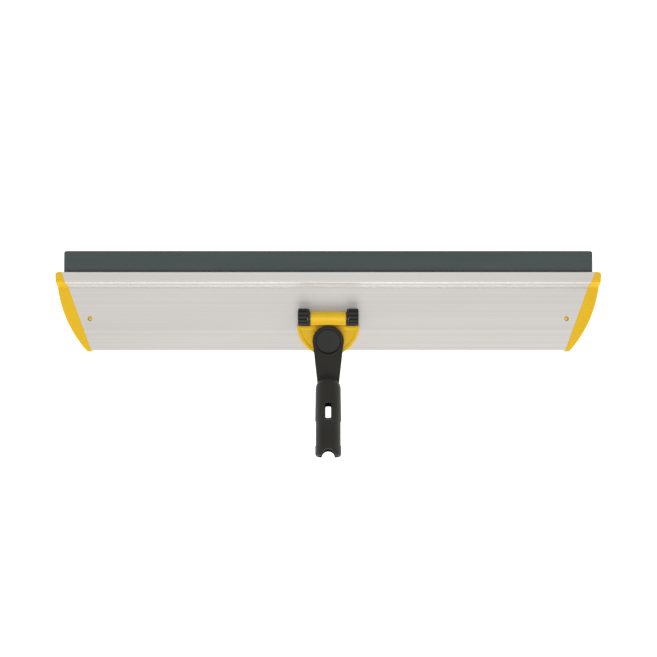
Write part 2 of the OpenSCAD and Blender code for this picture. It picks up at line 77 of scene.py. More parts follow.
soft_box_light = bpy.data.lights.new("soft_box", "AREA")
soft_box_light.size = SOFT_BOX_SIZE
soft_box_light.energy = SOFT_BOX_POWER
soft_box = bpy.data.objects.new("soft_box", soft_box_light)
soft_box.location = SOFT_BOX_PLACE
soft_box.rotation_euler = (-SOFT_BOX_PLACE).to_track_quat("-Z", "Y").to_euler()
bpy.context.scene.collection.objects.link(soft_box)

# The floor is a plain white sweep of paper just under the hook strips. It
# glows a little, so that it stays an even white out to its edges.
FLOOR_HALF = 3.0
FLOOR_DROP = 0.0002
PAPER_DARK = (0.85, 0.85, 0.85)
PAPER_LIGHT = (0.88, 0.88, 0.88)
PAPER_GLOW = 0.75
PAPER_RELIEF = 0.00002
NOISE_LOW = 0.3
NOISE_HIGH = 0.7
TINT_LOW = 0.32
TINT_HIGH = 0.68


def new_material(name):
    """A node material, with its shader and a coordinate node ready."""
    material = bpy.data.materials.new(name)
    material.use_nodes = True
    tree = material.node_tree
    shader = tree.nodes["Principled BSDF"]
    place = tree.nodes.new("ShaderNodeTexCoord")
    return material, tree, shader, place.outputs["Object"]


def stretched(tree, place, stretch):
    """Coordinates scaled by a different amount along each axis."""
    mapping = tree.nodes.new("ShaderNodeMapping")
    mapping.inputs["Scale"].default_value = stretch
    tree.links.new(place, mapping.inputs["Vector"])
    return mapping.outputs["Vector"]


def cloud(tree, place, scale, detail=3.0, rough=0.5):
    """A noise value, mostly between NOISE_LOW and NOISE_HIGH."""
    texture = tree.nodes.new("ShaderNodeTexNoise")
    texture.inputs["Scale"].default_value = scale
    texture.inputs["Detail"].default_value = detail
    texture.inputs["Roughness"].default_value = rough
    tree.links.new(place, texture.inputs["Vector"])
    return texture.outputs["Fac"]


def spread(tree, value, low, high):
    """Turns a noise value into a number from low to high."""
    ranger = tree.nodes.new("ShaderNodeMapRange")
    ranger.inputs["From Min"].default_value = NOISE_LOW
    ranger.inputs["From Max"].default_value = NOISE_HIGH
    ranger.inputs["To Min"].default_value = low
    ranger.inputs["To Max"].default_value = high
    tree.links.new(value, ranger.inputs["Value"])
    return ranger.outputs["Result"]


def tint(tree, value, dark, light):
    """Turns a noise value into a colour from dark to light."""
    ramp = tree.nodes.new("ShaderNodeValToRGB")
    ramp.color_ramp.elements[0].position = TINT_LOW
    ramp.color_ramp.elements[0].color = (*dark, 1)
    ramp.color_ramp.elements[1].position = TINT_HIGH
    ramp.color_ramp.elements[1].color = (*light, 1)
    tree.links.new(value, ramp.inputs["Fac"])
    return ramp.outputs["Color"]


def relief(tree, shader, value, height, under=None):
    """Adds a bump of a height in metres, over another bump where one is given."""
    bump = tree.nodes.new("ShaderNodeBump")
    bump.inputs["Distance"].default_value = height
    tree.links.new(value, bump.inputs["Height"])
    if under is not None:
        tree.links.new(under, bump.inputs["Normal"])
    tree.links.new(bump.outputs["Normal"], shader.inputs["Normal"])
    return bump.outputs["Normal"]


def paper_white():
    material, tree, shader, place = new_material("paper_white")
    fibres = cloud(tree, place, 60, 4)
    tree.links.new(tint(tree, fibres, PAPER_DARK, PAPER_LIGHT), shader.inputs["Base Color"])
    shader.inputs["Emission Color"].default_value = (1, 1, 1, 1)
    shader.inputs["Emission Strength"].default_value = PAPER_GLOW
    shader.inputs["Roughness"].default_value = 0.9
    shader.inputs["Specular IOR Level"].default_value = 0.1
    relief(tree, shader, fibres, PAPER_RELIEF)
    return material


floor_signs = ((-1, -1), (1, -1), (1, 1), (-1, 1))
floor_corners = [(x * FLOOR_HALF, y * FLOOR_HALF, -FLOOR_DROP) for x, y in floor_signs]
floor_mesh = bpy.data.meshes.new("floor")
floor_mesh.from_pydata(floor_corners, [], [(0, 1, 2, 3)])
floor_mesh.materials.append(paper_white())
floor = bpy.data.objects.new("floor", floor_mesh)
bpy.context.scene.collection.objects.link(floor)

# The frame is one length of hollow aluminium profile: a flat plate with a
# raised channel for the blade along its front. It is extruded, satin etched,
# sawn off on a slant at both ends, and drilled for the cap pegs and rivets.
MM = 0.001
profile_low, profile_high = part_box("frame_extrusion")
FRONT = profile_high.y
REAR = profile_low.y
BAND_TOP = profile_high.z
RIB_FOOT = profile_low.z
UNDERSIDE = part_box("hook_strip_middle")[1].z
PLATE_HEIGHT = 8.0 * MM
PLATE_TOP = UNDERSIDE + PLATE_HEIGHT
WALL = 1.6 * MM
HOLLOW_ROUND = 0.5 * MM
RIB_COUNT = 4
RIB_WIDTH = 1.6 * MM
RIB_EDGE = 0.3 * MM
RIB_ROOT = 0.2 * MM
BAND_RISE = BAND_TOP - PLATE_TOP
BAND_WIDTH = 11.6 * MM
STEP_SLOPE = 2.0 * MM
STEP_LEDGE = 1.0 * MM
STEP_SHARE = 0.57
STEP_Y = FRONT - BAND_WIDTH - STEP_SLOPE
STEP_Z = PLATE_TOP + BAND_RISE * STEP_SHARE
STEP_FOOT = STEP_Y - STEP_LEDGE - STEP_SLOPE
GROOVE_DEPTH = 0.95 * MM
GROOVE_LEAN = 0.05 * MM
LEDGE_GROOVE = 0.85 * MM
PLATE_GROOVE = 1.0 * MM
PLATE_GROOVE_END = 1.4 * MM
END_SLANT = tan(radians(20))
HALF_FRONT = profile_high.x
HALF_REAR = HALF_FRONT - (FRONT - REAR) * END_SLANT
BEAD_INSET = 7.6 * MM
BEAD_RADIUS = 2.8 * MM
BEAD_Y = FRONT - BEAD_INSET
BEAD_POCKET = BEAD_RADIUS + 0.2 * MM
BEAD_Z = BAND_TOP - WALL - BEAD_POCKET
CHANNEL_HALF = 1.7 * MM
CHANNEL_WEB = BEAD_Y - BEAD_POCKET - 2 * WALL
PEG_FROM_REAR = 36.0 * MM
PEG_INSET = 11.4 * MM
PEG_HOLE = 2.6 * MM
RIVET_PITCH = 8.0 * MM
RIVET_HOLE = 2.05 * MM
ALUMINIUM_DARK = (0.735, 0.712, 0.686)
ALUMINIUM_LIGHT = (0.768, 0.746, 0.720)
DIE_LINE_DARK = (0.96, 0.96, 0.96)
DIE_LINE_LIGHT = (1.06, 1.06, 1.06)
DIE_LINE_STRETCH = (0.2, 420, 420)
DIE_LINE_RELIEF = 0.000004
ETCH_RELIEF = 0.0000015


def end_x(y):
    """Half length of the profile at a depth y, at its slanted cut."""
    return HALF_REAR + (y - REAR) * END_SLANT


def rounded_loop(corners, step=15):
    """Points around an outline whose corners are (a, b, radius), in order."""
    points = []
    for i, (a, b, radius) in enumerate(corners):
        corner = Vector((a, b))
        before = Vector(corners[i - 1][:2]) - corner
        after = Vector(corners[(i + 1) % len(corners)][:2]) - corner
        to_before = before.normalized()
        to_after = after.normalized()
        turn = acos(max(-1.0, min(1.0, to_before.dot(to_after))))
        if radius <= 0 or turn > pi - 0.01:
            points.append(corner)
            continue
        reach = min(radius / tan(turn / 2), before.length * 0.49, after.length * 0.49)
        radius = reach * tan(turn / 2)
        middle = corner + (to_before + to_after).normalized() * (radius / sin(turn / 2))
        spoke_start = corner + to_before * reach - middle
        spoke_end = corner + to_after * reach - middle
        sweep = pi - turn
        pieces = max(2, round(sweep / radians(step)))
        for k in range(pieces + 1):
            part = k / pieces
            spoke = spoke_start * sin((1 - part) * sweep) + spoke_end * sin(part * sweep)
            points.append(middle + spoke / sin(sweep))
    return points


def piece_from(name, bm):
    """Makes an object from a bmesh, its faces turned outwards."""
    bmesh.ops.recalc_face_normals(bm, faces=bm.faces)
    mesh = bpy.data.meshes.new(name)
    bm.to_mesh(mesh)
    bm.free()
    piece = bpy.data.objects.new(name, mesh)
    bpy.context.scene.collection.objects.link(piece)
    return piece


def settle(piece):
    """Turns the piece's modifiers into plain mesh."""
    graph = bpy.context.evaluated_depsgraph_get()
    mesh = bpy.data.meshes.new_from_object(piece.evaluated_get(graph))
    piece.modifiers.clear()
    piece.data = mesh
    mesh.name = piece.name


def facet(piece):
    """Splits every face into triangles, so that each one is truly flat."""
    bm = bmesh.new()
    bm.from_mesh(piece.data)
    bmesh.ops.remove_doubles(bm, verts=bm.verts, dist=2e-7)
    bmesh.ops.triangulate(bm, faces=bm.faces)
    bm.to_mesh(piece.data)
    bm.free()


def combine(piece, tools, how):
    """Adds to, or cuts from, a piece with tool pieces, which are used up."""
    for tool in tools:
        facet(piece)
        facet(tool)
        change = piece.modifiers.new("change", "BOOLEAN")
        change.operation = how
        change.solver = "EXACT"
        change.object = tool
        settle(piece)
        bpy.data.objects.remove(tool)


def dress(piece, material, smooth_angle=35):
    """Smooth shading that keeps flat faces flat and real edges crisp."""
    mesh = piece.data
    mesh.shade_smooth()
    mesh.set_sharp_from_angle(angle=radians(smooth_angle))
    weigh = piece.modifiers.new("weigh", "WEIGHTED_NORMAL")
    weigh.keep_sharp = True
    settle(piece)
    piece.data.materials.clear()
    piece.data.materials.append(material)


def loft(name, rings):
    """A closed body skinned over rings of equally many points."""
    bm = bmesh.new()
    rows = [[bm.verts.new(p) for p in ring] for ring in rings]
    count = len(rows[0])
    for row, following in zip(rows, rows[1:]):
        for k in range(count):
            after = (k + 1) % count
            bm.faces.new((row[k], row[after], following[after], following[k]))
    bm.faces.new(rows[0])
    bm.faces.new(rows[-1])
    return piece_from(name, bm)


def rod(name, radius, start, end, sides=48):
    """A plain cutting tool from start to end."""
    axis = (end - start).normalized()
    across = axis.orthogonal().normalized()
    other = axis.cross(across)
    turns = [2 * pi * k / sides for k in range(sides)]
    rings = []
    for p in (start, end):
        rings.append([p + across * radius * cos(t) + other * radius * sin(t) for t in turns])
    return loft(name, rings)


def profile_outline():
    """The section's outer line as (depth, height, corner radius), ribs first."""
    line = []
    last_rib = FRONT - RIB_WIDTH
    for i in range(RIB_COUNT):
        near = REAR + (last_rib - REAR) * i / (RIB_COUNT - 1)
        far = near + RIB_WIDTH
        if i > 0:
            line.append((near, UNDERSIDE, RIB_ROOT))
        line += [(near, RIB_FOOT, RIB_EDGE), (far, RIB_FOOT, RIB_EDGE)]
        if i < RIB_COUNT - 1:
            line.append((far, UNDERSIDE, RIB_ROOT))
    line.append((FRONT, BEAD_Z - CHANNEL_HALF, 0.4 * MM))
    lip = pi / 2 - acos(CHANNEL_HALF / BEAD_POCKET)
    for k in range(25):
        angle = lip + 2 * (pi - lip) * k / 24
        line.append((BEAD_Y + BEAD_POCKET * cos(angle), BEAD_Z - BEAD_POCKET * sin(angle), 0))
    line += [
        (FRONT, BEAD_Z + CHANNEL_HALF, 0.4 * MM),
        (FRONT, BAND_TOP, 0.9 * MM),
        (FRONT - BAND_WIDTH, BAND_TOP, 0.7 * MM),
        (STEP_Y, STEP_Z, 0.1 * MM),
        (STEP_Y - GROOVE_LEAN, STEP_Z - GROOVE_DEPTH, 0.05 * MM),
        (STEP_Y - LEDGE_GROOVE, STEP_Z - GROOVE_DEPTH, 0.1 * MM),
        (STEP_Y - STEP_LEDGE, STEP_Z, 0.2 * MM),
        (STEP_FOOT, PLATE_TOP, 0.2 * MM),
        (STEP_FOOT - GROOVE_LEAN, PLATE_TOP - GROOVE_DEPTH, 0.15 * MM),
        (STEP_FOOT - PLATE_GROOVE, PLATE_TOP - GROOVE_DEPTH, 0.15 * MM),
        (STEP_FOOT - PLATE_GROOVE_END, PLATE_TOP, 0.3 * MM),
        (REAR, PLATE_TOP, 0.8 * MM),
    ]
    return line


def profile_hollows():
    """The two long hollows inside the section, behind and under the channel."""
    floor_z = UNDERSIDE + WALL
    boxes = [
        (REAR + WALL, CHANNEL_WEB, PLATE_TOP - WALL),
        (CHANNEL_WEB + WALL, FRONT - WALL, BEAD_Z - BEAD_POCKET - WALL),
    ]
    lines = []
    for near, far, top in boxes:
        corners = ((near, floor_z), (far, floor_z), (far, top), (near, top))
        lines.append([(y, z, HOLLOW_ROUND) for y, z in corners])
    return lines


def profile_piece():
    bm = bmesh.new()
    ends = {-1: [], 1: []}
    for line in (profile_outline(), *profile_hollows()):
        points = rounded_loop(line)
        rows = {s: [bm.verts.new((s * end_x(p.x), p.x, p.y)) for p in points] for s in ends}
        for k in range(len(points)):
            after = (k + 1) % len(points)
            bm.faces.new((rows[-1][k], rows[1][k], rows[1][after], rows[-1][after]))
        for s in ends:
            ends[s] += [bm.edges.get(pair) for pair in zip(rows[s], rows[s][1:] + rows[s][:1])]
    for s in ends:
        bmesh.ops.triangle_fill(bm, use_beauty=True, edges=ends[s])
    return piece_from("aluminium_profile", bm)


def drill(x, y, radius):
    """The way of a drill through the plate's top wall."""
    ends = [Vector((x, y, z)) for z in (PLATE_TOP - 2 * WALL, PLATE_TOP + WALL)]
    return rod("drill", radius, *ends)


def satin_aluminium():
    material, tree, shader, place = new_material("satin_aluminium")
    die_lines = cloud(tree, stretched(tree, place, DIE_LINE_STRETCH), 1.6, 4, 0.65)
    long_clouds = cloud(tree, stretched(tree, place, (5, 26, 26)), 1.0, 3)
    etching = cloud(tree, place, 900, 2)
    colour = tree.nodes.new("ShaderNodeVectorMath")
    colour.operation = "MULTIPLY"
    tree.links.new(tint(tree, long_clouds, ALUMINIUM_DARK, ALUMINIUM_LIGHT), colour.inputs[0])
    tree.links.new(tint(tree, die_lines, DIE_LINE_DARK, DIE_LINE_LIGHT), colour.inputs[1])
    tree.links.new(colour.outputs["Vector"], shader.inputs["Base Color"])
    shader.inputs["Metallic"].default_value = 0.45
    tree.links.new(spread(tree, die_lines, 0.34, 0.46), shader.inputs["Roughness"])
    etched = relief(tree, shader, etching, ETCH_RELIEF)
    relief(tree, shader, die_lines, DIE_LINE_RELIEF, etched)
    return material


bolt_low, bolt_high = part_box("hinge_bolt")
HINGE_Y = (bolt_low.y + bolt_high.y) / 2
HINGE_Z = (bolt_low.z + bolt_high.z) / 2
RIVET_PLACES = [RIVET_PITCH * i for i in (-1.5, -0.5, 0.5, 1.5)]
peg_y = REAR + PEG_FROM_REAR
peg_x = end_x(peg_y) - PEG_INSET
profile = profile_piece()
drills = [drill(s * peg_x, peg_y, PEG_HOLE) for s in (-1, 1)]
drills += [drill(x, HINGE_Y, RIVET_HOLE) for x in RIVET_PLACES]
combine(profile, drills, "DIFFERENCE")
dress(profile, satin_aluminium())
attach(profile, "frame")
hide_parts("frame_extrusion")

# The blade is one strip of grey-black moulded rubber. The round bead along its
# root is threaded into the channel, and its working edge is trimmed square.
blade_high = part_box("squeegee_blade")[1]
BLADE_HALF = blade_high.x
BLADE_EDGE = blade_high.y
BLADE_END_INSET = HALF_FRONT - BLADE_HALF
BLADE_THICK = 3.0 * MM
BLADE_CORNER = 2.6 * MM
BLADE_EDGE_ROUND = 0.35 * MM
BLADE_LINE = 3.6 * MM
BLADE_LINE_HALF = 0.6 * MM
BLADE_LINE_DEPTH = 0.2 * MM
RUBBER_DARK = (0.053, 0.068, 0.068)
RUBBER_LIGHT = (0.066, 0.082, 0.082)
RUBBER_RELIEF = 0.00003


def eased(distance, radius):
    """How far a rounded edge has fallen away, at a distance from its end."""
    if distance >= radius:
        return 0.0
    return radius - sqrt(max(0.0, radius**2 - (radius - distance) ** 2))


def blade_half_length(y):
    """Half length of the blade: slanted in the channel, square outside it."""
    if y <= FRONT:
        return end_x(y) - BLADE_END_INSET
    return BLADE_HALF - eased(BLADE_EDGE - y, BLADE_CORNER)


def blade_side():
    """Half of the blade's section: (depth, half thickness) from bead to edge."""
    half = BLADE_THICK / 2
    neck_turn = acos(sqrt(1 - (half / BEAD_RADIUS) ** 2))
    turns = [pi - (pi - neck_turn) * k / 12 for k in range(13)]
    side = [(BEAD_Y + BEAD_RADIUS * cos(t), BEAD_RADIUS * sin(t)) for t in turns]
    line = FRONT + BLADE_LINE
    side += [(FRONT - BLADE_LINE_HALF, half), (FRONT, half), (line - BLADE_LINE_HALF, half)]
    side += [(line, half - BLADE_LINE_DEPTH), (line + BLADE_LINE_HALF, half)]
    for k in range(13):
        y = BLADE_EDGE - BLADE_CORNER * (1 - sin(pi / 24 * k))
        side.append((y, half - eased(BLADE_EDGE - y, BLADE_EDGE_ROUND)))
    return side


def blade_piece():
    side = blade_side()
    last = len(side) - 1
    bm = bmesh.new()
    rows = {}
    for s in (-1, 1):
        for face in (-1, 1):
            points = [(s * blade_half_length(y), y, BEAD_Z + face * z) for y, z in side]
            rows[s, face] = [bm.verts.new(point) for point in points]
    for k in range(last):
        for face in (-1, 1):
            left, right = rows[-1, face], rows[1, face]
            bm.faces.new((left[k], right[k], right[k + 1], left[k + 1]))
        for s in (-1, 1):
            under, over = rows[s, -1], rows[s, 1]
            bm.faces.new((under[k], over[k], over[k + 1], under[k + 1]))
    for k in (0, last):
        bm.faces.new((rows[-1, -1][k], rows[1, -1][k], rows[1, 1][k], rows[-1, 1][k]))
    bmesh.ops.remove_doubles(bm, verts=bm.verts, dist=1e-6)
    bmesh.ops.dissolve_degenerate(bm, edges=bm.edges, dist=1e-7)
    return piece_from("rubber_blade", bm)


def blade_rubber():
    material, tree, shader, place = new_material("blade_rubber")
    bloom = cloud(tree, stretched(tree, place, (3, 30, 30)), 2.0, 5, 0.6)
    grain = cloud(tree, place, 1500, 3)
    tree.links.new(tint(tree, bloom, RUBBER_DARK, RUBBER_LIGHT), shader.inputs["Base Color"])
    tree.links.new(spread(tree, grain, 0.52, 0.68), shader.inputs["Roughness"])
    shader.inputs["Specular IOR Level"].default_value = 0.35
    relief(tree, shader, grain, RUBBER_RELIEF)
    return material


blade = blade_piece()
dress(blade, blade_rubber())
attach(blade, "frame")
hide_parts("squeegee_blade")

# Three woven strips of hook tape are stuck between the ribs under the plate.
# Rows of bent nylon hooks stand out of the tape and grip a looped pad.
TAPE_THICK = 0.7 * MM
UNDER_TAPE = UNDERSIDE - TAPE_THICK
SELVEDGE = 0.15 * MM
STRIP_END_GAP = 6.0 * MM
HOOK_END_GAP = 1.5 * MM
HOOK_SIDE_GAPS = 2.0 * MM
HOOK_PITCH = 2.4 * MM
HOOK_ROW_PITCH = 2.1 * MM
HOOK_RADIUS = 0.13 * MM
HOOK_ROOT = 0.1 * MM
HOOK_BEND = 0.2 * MM
HOOK_TIP = 0.62 * MM
HOOK_TIP_THIN = 0.75
HOOK_UNEVEN = 0.3
HOOK_NYLON_DARK = (0.66, 0.66, 0.62)
HOOK_NYLON_LIGHT = (0.80, 0.80, 0.77)
WEAVE_RELIEF = 0.00008


def hook_shape():
    """Rings of one bent hook that hangs from the tape, as offsets."""
    line = [(0, HOOK_ROOT), (0, -0.5 * UNDER_TAPE)]
    line += [(HOOK_BEND, -0.86 * UNDER_TAPE), (HOOK_TIP, -0.72 * UNDER_TAPE)]
    rings = []
    for k, (across, up) in enumerate(line):
        thin = HOOK_RADIUS * (HOOK_TIP_THIN if k == len(line) - 1 else 1)
        turns = (0, pi / 2, pi, 3 * pi / 2)
        rings.append([(across + thin * cos(t), thin * sin(t), up) for t in turns])
    return rings


def tape_hooks(low, high):
    """Rows of hooks over one tape, each row facing the other way to the last."""
    shape = hook_shape()
    middle = (low.y + high.y) / 2
    rows = int((high.y - low.y - HOOK_SIDE_GAPS) / HOOK_ROW_PITCH)
    verts = []
    faces = []
    for row in range(rows + 1):
        y = middle + (row - rows / 2) * HOOK_ROW_PITCH
        span = end_x(y) - STRIP_END_GAP - HOOK_END_GAP
        facing = 1 if row % 2 else -1
        for i in range(int(2 * span / HOOK_PITCH) + 1):
            x = -span + i * HOOK_PITCH + (row % 2) * HOOK_PITCH / 2
            if x > span:
                continue
            lean = 1 + HOOK_UNEVEN * noise(Vector((x * 900, y * 900, 0.5)))
            first = len(verts)
            for ring in shape:
                verts += [(x + facing * lean * dx, y + dy, UNDER_TAPE + dz) for dx, dy, dz in ring]
            for k in range(len(shape) - 1):
                for j in range(4):
                    a = first + 4 * k + j
                    b = first + 4 * k + (j + 1) % 4
                    faces.append((a, b, b + 4, a + 4))
            tip = first + 4 * (len(shape) - 1)
            faces.append((first + 3, first + 2, first + 1, first))
            faces.append((tip, tip + 1, tip + 2, tip + 3))
    return verts, faces


def hook_tape_piece(name, node):
    low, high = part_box(node)
    rings = []
    for z, inset in ((UNDERSIDE, 0), (UNDER_TAPE + SELVEDGE, 0), (UNDER_TAPE, SELVEDGE)):
        near = low.y + inset
        far = high.y - inset
        ring = []
        for y, s in ((near, -1), (near, 1), (far, 1), (far, -1)):
            ring.append(Vector((s * (end_x(y) - STRIP_END_GAP - inset), y, z)))
        rings.append(ring)
    tape = loft(name, rings)
    verts, faces = tape_hooks(low, high)
    hooks = bpy.data.meshes.new("hooks")
    hooks.from_pydata(verts, [], faces)
    bm = bmesh.new()
    bm.from_mesh(tape.data)
    bm.from_mesh(hooks)
    bmesh.ops.recalc_face_normals(bm, faces=bm.faces)
    bm.to_mesh(tape.data)
    bm.free()
    bpy.data.meshes.remove(hooks)
    return tape


def hook_nylon():
    material, tree, shader, place = new_material("hook_nylon")
    weave = tree.nodes.new("ShaderNodeTexWave")
    weave.inputs["Scale"].default_value = 420
    weave.inputs["Distortion"].default_value = 1.2
    tree.links.new(place, weave.inputs["Vector"])
    dust = cloud(tree, place, 45, 4)
    tree.links.new(tint(tree, dust, HOOK_NYLON_DARK, HOOK_NYLON_LIGHT), shader.inputs["Base Color"])
    shader.inputs["Roughness"].default_value = 0.48
    relief(tree, shader, weave.outputs["Fac"], WEAVE_RELIEF)
    return material


tape_nylon = hook_nylon()
for place_name in ("front", "middle", "rear"):
    tape = hook_tape_piece("hook_tape_" + place_name, "hook_strip_" + place_name)
    dress(tape, tape_nylon, 50)
    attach(tape, "frame")
    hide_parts("hook_strip_" + place_name)

# Each end is closed by a bowed cap of glossy yellow plastic, moulded in one
# with a three-fingered tongue. A peg on the middle finger snaps into the plate.
cap_low, cap_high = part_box("end_cap_right")
CAP_FRONT_ROUND = 3.2 * MM
CAP_REAR_WIDTH = 6.0 * MM
CAP_REAR_ROUND = 1.6 * MM
CAP_EDGE = 1.1 * MM
CAP_SEAM = 0.02 * MM
CAP_STEP_PITCH = 0.25 * MM
CAP_FRONT_PITCH = 1.6 * MM
TONGUE_LENGTH = 18.0 * MM
FINGER_HALF = 7.0 * MM
FINGER_ROUND = 1.5 * MM
FINGER_EDGE = 0.3 * MM
SLIT = 2.0 * MM
SLIDE_GAP = 0.2 * MM
PEG_RADIUS = 2.1 * MM
PEG_ROOT = 0.5 * MM
PEG_SINK = 0.3 * MM
PEG_DOME = 0.9 * MM
PEG_SHIFT = 0.3 * MM
YELLOW_DARK = (0.830, 0.515, 0.009)
YELLOW_LIGHT = (0.870, 0.548, 0.012)
YELLOW_GLOW_DEPTH = (0.003, 0.002, 0.0006)
YELLOW_RELIEF = 0.000012


def prism(name, outline, low, high):
    """An outline in plan, raised from one height to another."""
    return loft(name, [[Vector((p[0], p[1], z)) for p in outline] for z in (low, high)])


def bar(name, section, start, end):
    """An outline in the depth-height plane, drawn out along the length."""
    return loft(name, [[Vector((x, p[0], p[1])) for p in section] for x in (start, end)])


def soften(piece, width, angle=40, steps=3):
    """Rounds every edge sharper than an angle, as a moulding has them."""
    bm = bmesh.new()
    bm.from_mesh(piece.data)
    bmesh.ops.dissolve_limit(bm, angle_limit=radians(0.3), verts=bm.verts, edges=bm.edges)
    bm.to_mesh(piece.data)
    bm.free()
    bevel = piece.modifiers.new("soften", "BEVEL")
    bevel.width = width
    bevel.segments = steps
    bevel.limit_method = "ANGLE"
    bevel.angle_limit = radians(angle)
    bevel.harden_normals = False
    settle(piece)


def turned(name, line, place=Matrix.Identity(4), sides=96):
    """A closed turned body; line is (radius, height) from axis to axis."""
    rings = []
    bm = bmesh.new()
    for radius, height in line:
        if radius < 1e-7:
            rings.append([bm.verts.new((0, 0, height))])
        else:
            turns = [2 * pi * k / sides for k in range(sides)]
            rings.append([bm.verts.new((radius * cos(t), radius * sin(t), height)) for t in turns])
    for ring, following in zip(rings, rings[1:]):
        for k in range(sides):
            after = (k + 1) % sides
            corners = [ring[k % len(ring)], ring[after % len(ring)]]
            corners += [following[after % len(following)], following[k % len(following)]]
            unique = list(dict.fromkeys(corners))
            if len(unique) > 2:
                bm.faces.new(unique)
    bmesh.ops.transform(bm, matrix=place, verts=bm.verts)
    return piece_from(name, bm)


def cap_top(y):
    """Height of the cap's top face at a depth y, with its step eased."""
    line = [(REAR - 2 * MM, PLATE_TOP), (STEP_FOOT, PLATE_TOP), (STEP_Y - STEP_LEDGE, STEP_Z)]
    line += [(STEP_Y, STEP_Z), (FRONT - BAND_WIDTH, BAND_TOP), (FRONT + MM, BAND_TOP)]
    height = 0
    for shift in (-0.5, -0.25, 0, 0.25, 0.5):
        at = min(max(y + shift * MM, line[0][0]), FRONT)
        for (y0, z0), (y1, z1) in zip(line, line[1:]):
            if y0 <= at <= y1:
                height += (z0 + (z1 - z0) * (at - y0) / (y1 - y0)) / 5
                break
    return height


def cap_stations():
    """Depths at which the cap's section is set out, closest at its step and ends."""
    rear_end = cap_low.y + CAP_EDGE
    step_start = STEP_FOOT - 2 * MM
    front_start = FRONT - CAP_FRONT_ROUND
    stops = [cap_low.y + CAP_EDGE * (1 - cos(pi / 12 * k)) for k in range(6)]
    stops += [rear_end + (step_start - rear_end) * k / 30 for k in range(30)]
    stops += [step_start + CAP_STEP_PITCH * k for k in range(37)]
    stops += [front_start - CAP_FRONT_PITCH * k for k in range(4)]
    stops += [FRONT - CAP_FRONT_ROUND * (1 - sin(pi / 24 * k)) for k in range(13)]
    return sorted(set(round(stop, 7) for stop in stops))


def cap_shell():
    """The bowed cap, its outer edges rounded all the way along."""
    drop = cap_high.x - HALF_REAR - CAP_REAR_WIDTH
    bow = (drop**2 + (FRONT - REAR) ** 2) / (2 * drop)
    rings = []
    for y in cap_stations():
        from_front = FRONT - y
        from_rear = y - cap_low.y
        out = cap_high.x - bow + sqrt(bow**2 - from_front**2)
        out -= eased(from_front, CAP_FRONT_ROUND) + eased(from_rear, CAP_REAR_ROUND)
        fall = eased(from_front, CAP_EDGE) + eased(from_rear, CAP_EDGE)
        low = RIB_FOOT + fall
        high = cap_top(y) - fall
        inner = end_x(y) + CAP_SEAM
        edge = min(CAP_EDGE, (out - inner) * 0.45, (high - low) * 0.45)
        ring = [Vector((inner, y, low))]
        for centre, start in ((low + edge, -pi / 2), (high - edge, 0)):
            for k in range(7):
                turn = start + pi / 2 * k / 6
                ring.append(Vector((out - edge + edge * cos(turn), y, centre + edge * sin(turn))))
        ring.append(Vector((inner, y, high)))
        rings.append(ring)
    return loft("end_cap_yellow_right", rings)


def cap_tongue():
    """The three fingers that slide into the profile, and the snap peg."""
    low = UNDERSIDE + WALL + SLIDE_GAP
    high = PLATE_TOP - WALL - SLIDE_GAP
    fingers = [
        (REAR + WALL + SLIDE_GAP, peg_y - FINGER_HALF - SLIT),
        (peg_y - FINGER_HALF, peg_y + FINGER_HALF),
        (peg_y + FINGER_HALF + SLIT, CHANNEL_WEB - SLIDE_GAP),
    ]
    tongue = []
    for near, far in fingers:
        corners = [
            (end_x(near) + MM, near, 0),
            (end_x(near) - TONGUE_LENGTH, near, FINGER_ROUND),
            (end_x(far) - TONGUE_LENGTH, far, FINGER_ROUND),
            (end_x(far) + MM, far, 0),
        ]
        finger = prism("finger", rounded_loop(corners), low, high)
        soften(finger, FINGER_EDGE, 60, 2)
        tongue.append(finger)
    root = low + PEG_ROOT
    dome = PLATE_TOP - PEG_SINK
    line = [(0, root), (PEG_RADIUS, root), (PEG_RADIUS, dome - PEG_DOME)]
    for turn in (radians(30), radians(60)):
        line.append((PEG_RADIUS * cos(turn), dome - PEG_DOME * (1 - sin(turn))))
    line.append((0, dome))
    place = Matrix.Translation((peg_x - PEG_SHIFT, peg_y, 0))
    return [*tongue, turned("peg", line, place, 32)]


def mirrored(piece, name):
    """The other hand of a piece."""
    bm = bmesh.new()
    bm.from_mesh(piece.data)
    bmesh.ops.scale(bm, vec=(-1, 1, 1), verts=bm.verts)
    return piece_from(name, bm)


def yellow_plastic():
    material, tree, shader, place = new_material("yellow_plastic")
    flow = cloud(tree, place, 32, 3)
    grain = cloud(tree, place, 2200, 2)
    tree.links.new(tint(tree, flow, YELLOW_DARK, YELLOW_LIGHT), shader.inputs["Base Color"])
    tree.links.new(spread(tree, grain, 0.42, 0.52), shader.inputs["Roughness"])
    shader.inputs["Specular IOR Level"].default_value = 0.33
    shader.inputs["Subsurface Weight"].default_value = 0.25
    shader.inputs["Subsurface Scale"].default_value = 1.0
    shader.inputs["Subsurface Radius"].default_value = YELLOW_GLOW_DEPTH
    relief(tree, shader, grain, YELLOW_RELIEF)
    return material


yellow = yellow_plastic()
right_cap = cap_shell()
combine(right_cap, cap_tongue(), "UNION")
left_cap = mirrored(right_cap, "end_cap_yellow_left")
for cap, node in ((right_cap, "end_cap_right"), (left_cap, "end_cap_left")):
    dress(cap, yellow, 50)
    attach(cap, "frame")
    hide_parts(node)

